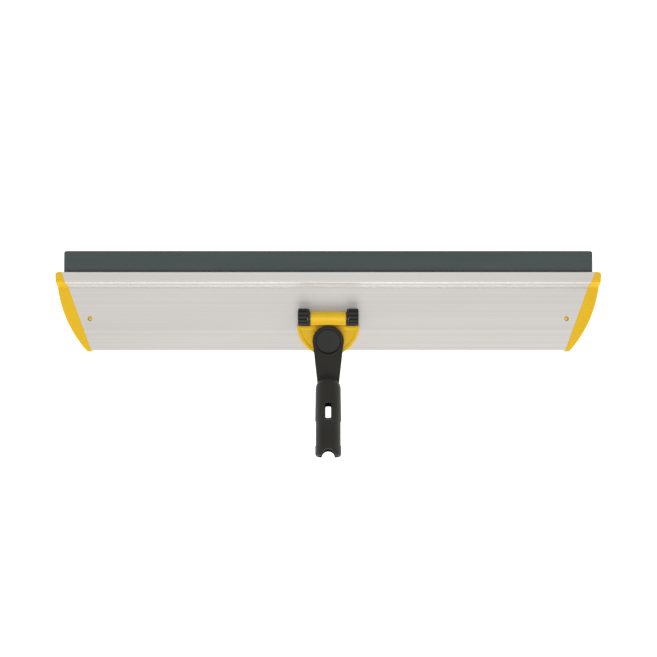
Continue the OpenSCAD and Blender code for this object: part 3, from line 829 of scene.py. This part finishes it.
# The hinge bracket is a black glass-filled moulding. Its base is riveted to
# the plate under the barrel, and its two round ears carry the hinge bolt.
HINGE = Vector((0, HINGE_Y, HINGE_Z))
hinge_axis = Matrix.Translation(HINGE) @ Matrix.Rotation(pi / 2, 4, "Y")
BRACKET_BASE = 2.4 * MM
BRACKET_BASE_HALF = 5.0 * MM
BRACKET_BASE_INSET = 0.5 * MM
BRACKET_EDGE = 0.45 * MM
RIVET_SINK = 1.4 * MM
BOLT_RADIUS = 3.0 * MM
EAR_BOLT_GAP = 0.08 * MM
EAR_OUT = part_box("hinge_bracket")[1].x
EAR_RADIUS = 9.2 * MM
EAR_THICK = 1.8 * MM
EAR_FOOT = 7.0 * MM
BLACK_DARK = (0.0190, 0.0185, 0.0152)
BLACK_LIGHT = (0.0240, 0.0234, 0.0196)
BLACK_RELIEF = 0.000022


def along_hinge(x):
    """The point on the hinge's axis at a distance from the middle."""
    return HINGE + Vector((x, 0, 0))


def bracket_piece():
    rear = HINGE_Y - BRACKET_BASE_HALF
    front = HINGE_Y + BRACKET_BASE_HALF
    base_top = PLATE_TOP + BRACKET_BASE
    base_end = EAR_OUT - BRACKET_BASE_INSET
    base = [(rear, PLATE_TOP), (front, PLATE_TOP), (front, base_top), (rear, base_top)]
    body = bar("hinge_bracket_black", base, -base_end, base_end)
    foot_turn = acos(EAR_FOOT / EAR_RADIUS)
    ear = [(HINGE_Y - EAR_FOOT, PLATE_TOP), (HINGE_Y + EAR_FOOT, PLATE_TOP)]
    for k in range(41):
        turn = -foot_turn + (pi + 2 * foot_turn) * k / 40
        ear.append((HINGE_Y + EAR_RADIUS * cos(turn), HINGE_Z + EAR_RADIUS * sin(turn)))
    ears = [bar("ear", ear, s * (EAR_OUT - EAR_THICK), s * EAR_OUT) for s in (-1, 1)]
    combine(body, ears, "UNION")
    ends = (along_hinge(-2 * EAR_OUT), along_hinge(2 * EAR_OUT))
    combine(body, [rod("bolt_way", BOLT_RADIUS + EAR_BOLT_GAP, *ends)], "DIFFERENCE")
    soften(body, BRACKET_EDGE, 50)
    sink = BRACKET_BASE - RIVET_SINK
    mouth = RIVET_HOLE + RIVET_SINK
    line = [(0, -MM), (RIVET_HOLE, -MM), (RIVET_HOLE, sink), (mouth, BRACKET_BASE)]
    line += [(mouth, BRACKET_BASE + MM), (0, BRACKET_BASE + MM)]
    places = [Matrix.Translation((x, HINGE_Y, PLATE_TOP)) for x in RIVET_PLACES]
    combine(body, [turned("rivet_way", line, place, 32) for place in places], "DIFFERENCE")
    return body


def black_plastic(name, dark, light):
    material, tree, shader, place = new_material(name)
    flow = cloud(tree, place, 40, 4)
    spark = cloud(tree, place, 1600, 3, 0.6)
    tree.links.new(tint(tree, flow, dark, light), shader.inputs["Base Color"])
    tree.links.new(spread(tree, spark, 0.46, 0.62), shader.inputs["Roughness"])
    shader.inputs["Specular IOR Level"].default_value = 0.25
    relief(tree, shader, spark, BLACK_RELIEF)
    return material


black = black_plastic("black_plastic", BLACK_DARK, BLACK_LIGHT)
bracket = bracket_piece()
dress(bracket, black, 50)
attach(bracket, "frame")
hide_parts("hinge_bracket")

# The rivets, plain washers and spring washer are zinc-plated steel. The
# barrel's two bushes and the neck's wear washer are dark nylon. They are set
# where the assembly holds them, and keep their own exact shapes.
ZINC_NODES = ["bracket_rivets", "thrust_washer_left", "thrust_washer_right", "flat_washer"]
ZINC_NODES += ["spring_washer"]
NYLON_NODES = ["barrel_bush_left", "barrel_bush_right", "wear_washer"]
ZINC_DARK = (0.47, 0.48, 0.50)
ZINC_LIGHT = (0.60, 0.61, 0.62)
NYLON_DARK = (0.045, 0.044, 0.040)
NYLON_LIGHT = (0.060, 0.058, 0.053)
FINE_RELIEF = 0.00001


def zinc_steel():
    material, tree, shader, place = new_material("zinc_steel")
    scratches = cloud(tree, stretched(tree, place, (900, 120, 900)), 1.0, 4)
    spangle = cloud(tree, place, 260, 3)
    tree.links.new(tint(tree, spangle, ZINC_DARK, ZINC_LIGHT), shader.inputs["Base Color"])
    shader.inputs["Metallic"].default_value = 1.0
    tree.links.new(spread(tree, scratches, 0.28, 0.45), shader.inputs["Roughness"])
    relief(tree, shader, scratches, FINE_RELIEF)
    return material


def dark_nylon():
    material, tree, shader, place = new_material("dark_nylon")
    milky = cloud(tree, place, 90, 3)
    tree.links.new(tint(tree, milky, NYLON_DARK, NYLON_LIGHT), shader.inputs["Base Color"])
    shader.inputs["Roughness"].default_value = 0.42
    relief(tree, shader, cloud(tree, place, 1800, 2), FINE_RELIEF)
    return material


zinc = zinc_steel()
for names, material in ((ZINC_NODES, zinc), (NYLON_NODES, dark_nylon())):
    for name in names:
        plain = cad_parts[name]
        plain.data.materials.clear()
        plain.data.materials.append(material)

# The hinge bolt is a hex-head machine screw of zinc-plated steel, held by its
# head in the left knob. Its nut sits in the right knob. Only the head, the nut
# and the last turns of the thread show, in the knobs.
HEX_FLATS = 10.0 * MM
HEAD_HEIGHT = 4.0 * MM
HEX_FLOOR = -bolt_low.x - HEAD_HEIGHT
CHAMFER_RIM = 1.02
CHAMFER_SLOPE = 0.55
THREAD_PITCH = 1.0 * MM
THREAD_LENGTH = 14.0 * MM
THREAD_DEPTH = 0.45 * MM
THREAD_RUN_OUT = 0.8 * THREAD_PITCH
THREAD_START = bolt_high.x - THREAD_LENGTH
THREAD_OVERLAP = 0.5 * MM
THREAD_GAP = 0.03 * MM
THREAD_SIDES = 32
THREAD_SLICES = 8


def hexagon(flats, start=pi / 6):
    """The six corners of a hexagon, from its width across the flats."""
    corner = flats / 2 / cos(pi / 6)
    turns = [pi / 3 * k + start for k in range(6)]
    return [(corner * cos(t), corner * sin(t)) for t in turns]


def hexagon_block(name, flats, low, high, place):
    """A hex block with its corners turned off at the top."""
    block = prism(name, hexagon(flats), low, high)
    rim = flats / 2 * CHAMFER_RIM
    outside = flats / 2 / cos(pi / 6) + MM
    line = [(0, low), (outside, low), (outside, high - (outside - rim) * CHAMFER_SLOPE)]
    line += [(rim, high), (0, high)]
    combine(block, [turned("chamfer", line, sides=64)], "INTERSECT")
    block.data.transform(place)
    return block


def threaded(name, start, end, radius, place):
    """A screw thread as one closed body, its crest running as a helix."""
    slices = int((end - start) / THREAD_PITCH * THREAD_SLICES)
    rings = []
    for i in range(slices + 1):
        height = start + (end - start) * i / slices
        taper = min(1.0, (end - height) / THREAD_RUN_OUT)
        ring = []
        for k in range(THREAD_SIDES):
            phase = (height / THREAD_PITCH - k / THREAD_SIDES) % 1.0
            depth = THREAD_DEPTH * abs(2 * phase - 1)
            r = radius - max(depth, THREAD_DEPTH * (1 - taper))
            turn = 2 * pi * k / THREAD_SIDES
            ring.append(place @ Vector((r * cos(turn), r * sin(turn), height)))
        rings.append(ring)
    return loft(name, rings)


def bolt_piece():
    half_turn = Matrix.Rotation(pi, 4, "Y")
    head_top = HEX_FLOOR + HEAD_HEIGHT
    head = hexagon_block("hinge_bolt_zinc", HEX_FLATS, HEX_FLOOR, head_top, half_turn)
    head.data.transform(hinge_axis)
    root = -HEX_FLOOR - MM
    line = [(0, root), (BOLT_RADIUS, root), (BOLT_RADIUS, THREAD_START), (0, THREAD_START)]
    shank = turned("shank", line, hinge_axis, 48)
    start = THREAD_START - THREAD_OVERLAP
    thread = threaded("thread", start, bolt_high.x, BOLT_RADIUS - THREAD_GAP, hinge_axis)
    combine(head, [shank, thread], "UNION")
    return head


def nut_piece(name, flats, low, high, bore, place):
    body = hexagon_block(name, flats, low, high, Matrix.Identity(4))
    tapping = rod("tapping", bore, Vector((0, 0, low - MM)), Vector((0, 0, high + MM)))
    combine(body, [tapping], "DIFFERENCE")
    body.data.transform(place)
    return body


bolt = bolt_piece()
dress(bolt, zinc)
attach(bolt, "left_knob")
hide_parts("hinge_bolt")

nut_span = [corner.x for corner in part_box("hinge_nut")]
hinge_nut = nut_piece("hinge_nut_zinc", HEX_FLATS, *nut_span, BOLT_RADIUS, hinge_axis)
dress(hinge_nut, zinc)
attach(hinge_nut, "right_knob")
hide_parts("hinge_nut")

# Two black thumb knobs clamp the ears against the barrel. Each is moulded with
# twelve round grip ribs, and has a hex pocket outside and a washer seat inside.
knob_low, knob_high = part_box("tension_knob_right")
KNOB_IN = knob_low.x
KNOB_OUT = knob_high.x
KNOB_RADIUS = (knob_high.z - knob_low.z) / 2
KNOB_RIBS = 12
KNOB_RIB = 3.7 * MM
KNOB_RIB_DEPTH = 1.6 * MM
KNOB_RIB_STEPS = 24
KNOB_ROUND = 1.3 * MM
KNOB_INNER_EDGE = 0.35 * MM
KNOB_BOLT_GAP = 0.06 * MM
WASHER_SEAT = 0.5 * MM
WASHER_SEAT_RADIUS = 6.8 * MM
POCKET_PLAY = 0.1 * MM


def knob_piece():
    around = KNOB_RIBS * KNOB_RIB_STEPS
    rib_circle = KNOB_RADIUS - KNOB_RIB / 2
    stations = [(KNOB_IN, KNOB_INNER_EDGE), (KNOB_IN + KNOB_INNER_EDGE, 0)]
    for k in range(6):
        turn = pi / 2 * k / 5
        stations.append((KNOB_OUT - KNOB_ROUND * (1 - sin(turn)), KNOB_ROUND * (1 - cos(turn))))
    rings = []
    for x, inset in stations:
        ring = []
        for k in range(around):
            turn = 2 * pi * k / around
            away = (turn + pi / KNOB_RIBS) % (2 * pi / KNOB_RIBS) - pi / KNOB_RIBS
            inside = (KNOB_RIB / 2) ** 2 - (rib_circle * sin(away)) ** 2
            rib = rib_circle * cos(away) + sqrt(inside) if inside > 0 else 0
            radius = max(rib, KNOB_RADIUS - KNOB_RIB_DEPTH) - inset
            ring.append(hinge_axis @ Vector((radius * cos(turn), radius * sin(turn), x)))
        rings.append(ring)
    body = loft("knob_black_right", rings)
    bolt_ends = (along_hinge(KNOB_IN - MM), along_hinge(KNOB_OUT + MM))
    seat_ends = (along_hinge(KNOB_IN - 2 * MM), along_hinge(KNOB_IN + WASHER_SEAT))
    bolt_way = rod("bolt_way", BOLT_RADIUS + KNOB_BOLT_GAP, *bolt_ends)
    washer_seat = rod("washer_seat", WASHER_SEAT_RADIUS, *seat_ends)
    pocket = prism("hex_pocket", hexagon(HEX_FLATS + POCKET_PLAY), HEX_FLOOR, KNOB_OUT + MM)
    pocket.data.transform(hinge_axis)
    combine(body, [bolt_way, washer_seat, pocket], "DIFFERENCE")
    return body


right_knob = knob_piece()
left_knob = mirrored(right_knob, "knob_black_left")
for knob, side in ((right_knob, "right"), (left_knob, "left")):
    dress(knob, black, 40)
    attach(knob, side + "_knob")
    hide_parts("tension_knob_" + side)

# The yoke is one yellow moulding: a barrel on the hinge bolt, a stepped web,
# and a D-shaped flange with a raised rim and a round seat for the neck.
wear_low, wear_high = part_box("wear_washer")
neck_low, neck_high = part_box("swivel_neck")
NECK_Y = (wear_low.y + wear_high.y) / 2
DISC_RADIUS = neck_high.x
SEAT_TOP = wear_low.z
SEAT_RADIUS = 19.0 * MM
SEAT_MARGIN = 0.4 * MM
SEAT_HALF = 18.0 * MM
SEAT_REACH = 9.0 * MM
BUSH_FLANGE = 0.8 * MM
BUSH_BORE = 4.55 * MM
BARREL_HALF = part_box("barrel_bush_right")[1].x - BUSH_FLANGE
BARREL_RADIUS = 6.0 * MM
FLANGE_RADIUS = 34.8 * MM
FLANGE_THICK = 4.0 * MM
FLANGE_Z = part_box("hinge_yoke")[0].z
FLANGE_TOP = FLANGE_Z + FLANGE_THICK
FLANGE_EDGE = HINGE_Y - KNOB_RADIUS - 0.3 * MM
FLANGE_CENTRE = FLANGE_EDGE + 1.2 * MM
RIM_WIDTH = 3.6 * MM
RIM_RISE = 0.7 * MM
WEB_GAP = 0.7 * MM
WEB_LEAN = radians(28)
WEB_UNDER = radians(54)
WEB_TOE = 7.6 * MM
WEB_SINK = 0.3 * MM
SHOULDER_BORE = 4.05 * MM
HEAD_RECESS = 6.2 * MM
HEAD_RECESS_DEPTH = 2.4 * MM
FAR = 50 * MM
OVERLAP = 0.02 * MM
YOKE_GRAIN = 0.30 * MM


def on_pivot(z):
    """The point at a height on the axis that the neck swivels about."""
    return Vector((0, NECK_Y, z))


def flange_outline(inset):
    """The D of the flange in plan, pulled in by an inset."""
    radius = FLANGE_RADIUS - inset
    edge = FLANGE_EDGE - inset
    start = acos((edge - FLANGE_CENTRE) / radius)
    points = []
    for k in range(73):
        turn = start + (2 * pi - 2 * start) * k / 72
        points.append((-radius * sin(turn), FLANGE_CENTRE + radius * cos(turn)))
    return points


def web_outline():
    """The web's section as (depth, height), from the flange up to the barrel."""
    crest = BARREL_RADIUS - OVERLAP
    foot = NECK_Y + DISC_RADIUS + WEB_GAP
    lip = HINGE_Z + crest * sin(WEB_LEAN)
    low = FLANGE_Z + OVERLAP / 2
    sunk = FLANGE_TOP - WEB_SINK
    return [
        (FLANGE_EDGE - MM, low),
        (HINGE_Y - WEB_TOE, low),
        (HINGE_Y - crest * cos(WEB_UNDER), HINGE_Z - crest * sin(WEB_UNDER)),
        (HINGE_Y, HINGE_Z),
        (HINGE_Y - crest * cos(WEB_LEAN), lip),
        (foot, lip),
        (foot, sunk),
        (FLANGE_EDGE - MM, sunk),
    ]


def seat_piece():
    """The round seat, kept clear of the knobs beside the web."""
    seat = rod("seat", SEAT_RADIUS, on_pivot(FLANGE_TOP - MM), on_pivot(SEAT_TOP), 96)
    edge = FLANGE_EDGE - SEAT_MARGIN
    reach = HINGE_Y - SEAT_REACH
    plan = flange_outline(SEAT_MARGIN)[1:-1]
    plan += [(SEAT_HALF, edge), (SEAT_HALF, reach), (-SEAT_HALF, reach), (-SEAT_HALF, edge)]
    combine(seat, [prism("keep", plan, FLANGE_TOP - 2 * MM, SEAT_TOP + MM)], "INTERSECT")
    return seat


def moulded(piece, grain, passes=4):
    """Grows a piece afresh on a fine even grid, then eases every edge a little."""
    remesh = piece.modifiers.new("grow", "REMESH")
    remesh.mode = "VOXEL"
    remesh.voxel_size = grain
    remesh.use_smooth_shade = True
    ease = piece.modifiers.new("ease", "SMOOTH")
    ease.factor = 0.5
    ease.iterations = passes
    settle(piece)


def yoke_piece():
    web_half = BARREL_HALF - OVERLAP / 2
    web = bar("web", web_outline(), -web_half, web_half)
    body = prism("yoke_yellow", flange_outline(0), FLANGE_Z, FLANGE_TOP)
    rim = prism("rim", flange_outline(OVERLAP), FLANGE_TOP - MM, FLANGE_TOP + RIM_RISE)
    inside = prism("inside", flange_outline(RIM_WIDTH), FLANGE_TOP - 2 * MM, FLANGE_TOP + 2 * MM)
    combine(rim, [inside], "DIFFERENCE")
    seat = seat_piece()
    line = [(0, -BARREL_HALF), (BARREL_RADIUS, -BARREL_HALF)]
    line += [(BARREL_RADIUS, BARREL_HALF), (0, BARREL_HALF)]
    barrel = turned("barrel", line, hinge_axis, 96)
    combine(body, [rim, seat, web, barrel], "UNION")
    recess_ends = (on_pivot(FLANGE_Z - MM), on_pivot(FLANGE_Z + HEAD_RECESS_DEPTH))
    cuts = [
        rod("bush_bore", BUSH_BORE, along_hinge(-FAR), along_hinge(FAR)),
        rod("shoulder_bore", SHOULDER_BORE, on_pivot(0), on_pivot(FAR)),
        rod("head_recess", HEAD_RECESS, *recess_ends),
    ]
    combine(body, cuts, "DIFFERENCE")
    moulded(body, YOKE_GRAIN)
    return body


yoke = yoke_piece()
dress(yoke, yellow, 60)
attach(yoke, "yoke")
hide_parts("hinge_yoke")

# The zinc-plated swivel screw comes up through the flange. It clamps its nut
# and washers to its own shoulder, so the neck turns freely between them.
screw_low, screw_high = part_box("swivel_screw")
SHOULDER = 4.0 * MM
SHOULDER_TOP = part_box("flat_washer")[0].z
SCREW_HEAD = 6.0 * MM
SCREW_HEAD_HEIGHT = 2.2 * MM
SCREW_HEAD_ROUND = ((1.2, 0), (0.5, 0.15), (0, 0.7))
SCREW_THREAD = 3.0 * MM
SCREW_OVERLAP = 0.3 * MM
DRIVE_FLATS = 4.0 * MM
DRIVE_DEPTH = 1.5 * MM


def swivel_screw_piece():
    low = screw_low.z
    head_top = low + SCREW_HEAD_HEIGHT
    line = [(0, low)]
    line += [(SCREW_HEAD - inward * MM, low + up * MM) for inward, up in SCREW_HEAD_ROUND]
    line += [(SCREW_HEAD, head_top), (SHOULDER, head_top), (SHOULDER, SHOULDER_TOP)]
    line += [(0, SHOULDER_TOP)]
    place = Matrix.Translation((0, NECK_Y, 0))
    body = turned("swivel_screw_zinc", line, place, 64)
    start = SHOULDER_TOP - SCREW_OVERLAP
    combine(body, [threaded("thread", start, screw_high.z, SCREW_THREAD, place)], "UNION")
    outline = [(x, NECK_Y + y) for x, y in hexagon(DRIVE_FLATS, 0)]
    combine(body, [prism("hex_drive", outline, low - MM, low + DRIVE_DEPTH)], "DIFFERENCE")
    return body


swivel_screw = swivel_screw_piece()
swivel_place = Matrix.Translation((0, NECK_Y, 0)) @ Matrix.Rotation(pi / 6, 4, "Z")
nut_span = [corner.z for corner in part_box("swivel_nut")]
swivel_nut = nut_piece("swivel_nut_zinc", HEX_FLATS, *nut_span, SCREW_THREAD, swivel_place)
for fastener, node in ((swivel_screw, "swivel_screw"), (swivel_nut, "swivel_nut")):
    dress(fastener, zinc)
    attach(fastener, "yoke")
    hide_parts(node)

# The neck is one black moulding: a pivot disc, a flat tapering arm, and a
# domed socket with a button slot through it and a notch across its mouth.
cover_low, cover_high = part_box("swivel_cap")
COVER_RADIUS = cover_high.x
DISC_Z = neck_low.z
DISC_THICK = 9.0 * MM
DISC_TOP = DISC_Z + DISC_THICK
DISC_EDGE = 1.8 * MM
DISC_UNDER_EDGE = 0.8 * MM
DISC_FLOOR = 3.4 * MM
DISC_BORE = 4.06 * MM
POCKET_GAP = 0.05 * MM
SOCKET_TILT = radians(14.5)
SOCKET_Z = DISC_Z + DISC_THICK / 3
SOCKET_START = 41.5 * MM
SOCKET_END = 128.0 * MM
SOCKET_RADIUS = 13.75 * MM
SOCKET_BORE = 11.25 * MM
NOSE_LENGTH = 12.5 * MM
NOSE_TIP = 2.0 * MM
LEDGE_RADIUS = 14.25 * MM
LEDGE_PAST_SLOT = 1.6 * MM
LEDGE_RAMP = 0.7 * MM
SHANK_RADIUS = 13.55 * MM
COLLAR_RADIUS = 14.1 * MM
COLLAR_LENGTH = 12.0 * MM
COLLAR_RAMP = 0.8 * MM
MOUTH_ROUND = ((0, 2.6), (0.35, 1.5), (0.95, 0.6), (1.7, 0))
SLOT_WIDTH = 6.2 * MM
SLOT_LENGTH = 16.8 * MM
SLOT_ROUND = 1.5 * MM
SLOT_FROM_MOUTH = 48.5 * MM
NOTCH_RADIUS = 7.0 * MM
SLOT_CUT = (-30 * MM, 30 * MM)
NOTCH_CUT = (-31 * MM, 29 * MM)
BORE_CUT_END = 200 * MM
ARM_LOW = -6.5 * MM
ARM_HIGH = 2.5 * MM
ARM_HALF = 11.5 * MM
ARM_EDGE = 1.9 * MM
ARM_SHORT = 3.0 * MM
ARM_CLIMB_START = 0.55
ARM_CLIMB_GAIN = 0.45
ARM_TWIST = 1.6
CORNER_SIGNS = ((-1, -1), (1, -1), (1, 1), (-1, 1))
NECK_GRAIN = 0.38 * MM
socket_axis = Matrix.Translation(on_pivot(SOCKET_Z)) @ Matrix.Rotation(pi / 2 - SOCKET_TILT, 4, "X")


def arm_ring(share):
    """One cross-section of the arm, from the disc's middle (0) to the socket (1)."""
    reach = SOCKET_START + NOSE_LENGTH - ARM_SHORT
    start = on_pivot(DISC_Z + DISC_THICK / 2)
    end = socket_axis @ Vector((0, (ARM_LOW + ARM_HIGH) / 2, reach))
    bend = 1 / (1 + (start - end).length / (2 * DISC_RADIUS))
    climb = share
    if share <= bend:
        climb = share * (ARM_CLIMB_START + ARM_CLIMB_GAIN * share / bend)
    middle = start.lerp(end, share)
    middle.z = start.z + (end.z - start.z) * climb
    wide = (DISC_RADIUS - 0.1 * MM) * (1 - share) + ARM_HALF * share
    thick = (DISC_THICK / 2 - 0.05 * MM) * (1 - share) + (ARM_HIGH - ARM_LOW) / 2 * share
    tilt = SOCKET_TILT * min(1.0, share * ARM_TWIST)
    corners = [(s * wide, t * thick, ARM_EDGE) for s, t in CORNER_SIGNS]
    lift = Vector((0, sin(tilt), cos(tilt)))
    return [middle + Vector((p.x, 0, 0)) + lift * p.y for p in rounded_loop(corners)]


def socket_line():
    """The socket's outside as (radius, distance along), from its nose to its mouth."""
    ledge = SOCKET_END - SLOT_FROM_MOUTH + SLOT_LENGTH / 2 + LEDGE_PAST_SLOT
    collar = SOCKET_END - COLLAR_LENGTH
    line = [(0, SOCKET_START)]
    for k in range(13):
        turn = pi / 2 * k / 12
        radius = NOSE_TIP + (SOCKET_RADIUS - NOSE_TIP) * sin(turn)
        line.append((radius, SOCKET_START + NOSE_LENGTH * (1 - cos(turn))))
    line += [(LEDGE_RADIUS, ledge), (SHANK_RADIUS, ledge + LEDGE_RAMP)]
    line += [(SHANK_RADIUS, collar), (COLLAR_RADIUS, collar + COLLAR_RAMP)]
    line += [(COLLAR_RADIUS - inward * MM, SOCKET_END - back * MM) for inward, back in MOUTH_ROUND]
    line += [(0, SOCKET_END)]
    return line


def socket_cuts():
    """The tools for the handle's bore, the button slot and the notched mouth."""
    bore_floor = Vector((0, 0, SOCKET_START + NOSE_LENGTH - 2 * MM))
    bore = rod("bore", SOCKET_BORE, bore_floor, Vector((0, 0, BORE_CUT_END)), 96)
    slot_middle = SOCKET_END - SLOT_FROM_MOUTH
    corners = [
        (s * SLOT_WIDTH / 2, slot_middle + t * SLOT_LENGTH / 2, SLOT_ROUND)
        for s, t in CORNER_SIGNS
    ]
    plan = rounded_loop(corners)
    slot = loft("slot", [[Vector((p.x, y, p.y)) for p in plan] for y in SLOT_CUT])
    rings = []
    for y in NOTCH_CUT:
        turns = [2 * pi * (k + 0.5) / 64 for k in range(64)]
        round_mouth = [(NOTCH_RADIUS * cos(t), SOCKET_END + NOTCH_RADIUS * sin(t)) for t in turns]
        rings.append([Vector((x, y, z)) for x, z in round_mouth])
    cuts = [bore, slot, loft("notch", rings)]
    for tool in cuts:
        tool.data.transform(socket_axis)
    return cuts


def neck_piece():
    under = DISC_RADIUS - DISC_UNDER_EDGE
    line = [(0, DISC_Z), (under, DISC_Z), (DISC_RADIUS, DISC_Z + DISC_UNDER_EDGE)]
    for k in range(6):
        turn = pi / 2 * k / 5
        radius = DISC_RADIUS - DISC_EDGE * (1 - cos(turn))
        line.append((radius, DISC_TOP - DISC_EDGE * (1 - sin(turn))))
    line.append((0, DISC_TOP))
    body = turned("swivel_neck_black", line, Matrix.Translation(on_pivot(0)), 96)
    arm = loft("arm", [arm_ring(k / 16) for k in range(17)])
    socket = turned("socket", socket_line(), socket_axis, 96)
    combine(body, [arm, socket], "UNION")
    pocket_radius = COVER_RADIUS + POCKET_GAP
    cuts = socket_cuts()
    cuts += [
        rod("disc_bore", DISC_BORE, on_pivot(0), on_pivot(DISC_TOP)),
        rod("pocket", pocket_radius, on_pivot(DISC_Z + DISC_FLOOR), on_pivot(FAR), 96),
    ]
    combine(body, cuts, "DIFFERENCE")
    moulded(body, NECK_GRAIN)
    return body


neck = neck_piece()
dress(neck, black, 60)
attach(neck, "neck")
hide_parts("swivel_neck")

# A thin round dust cap presses into the disc over the nut. Its edge is eased,
# which leaves a fine groove around it, and its face is very slightly domed.
COVER_SKIRT = 1.3 * MM
COVER_THICK = 1.2 * MM
COVER_ROUND = ((0, 0.8), (0.2, 0.6), (0.7, 0.15), (1.1, 0.06))
COVER_DOME = 0.03 * MM
# The cover's black is a little lighter than the neck's black. This is painted light: it stands for
# the lit middle of the disc against its shaded rim.
COVER_PAINTED_LIT_DARK = (0.0250, 0.0244, 0.0215)
COVER_PAINTED_LIT_LIGHT = (0.0300, 0.0292, 0.0260)


def cover_piece():
    top = cover_high.z
    skirt = COVER_RADIUS - COVER_SKIRT
    line = [(0, top - COVER_THICK), (skirt, top - COVER_THICK)]
    line += [(skirt, cover_low.z), (COVER_RADIUS, cover_low.z)]
    line += [(COVER_RADIUS - inward * MM, top - down * MM) for inward, down in COVER_ROUND]
    line += [(COVER_RADIUS * 0.6, top - COVER_DOME), (0, top)]
    return turned("dust_cover_black", line, swivel_place, 96)


cover = cover_piece()
# The cover gets the lighter black, which paints a highlight onto the middle of the disc.
dress(cover, black_plastic("black_cover_painted_lit", COVER_PAINTED_LIT_DARK, COVER_PAINTED_LIT_LIGHT), 50)
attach(cover, "neck")
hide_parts("swivel_cap")
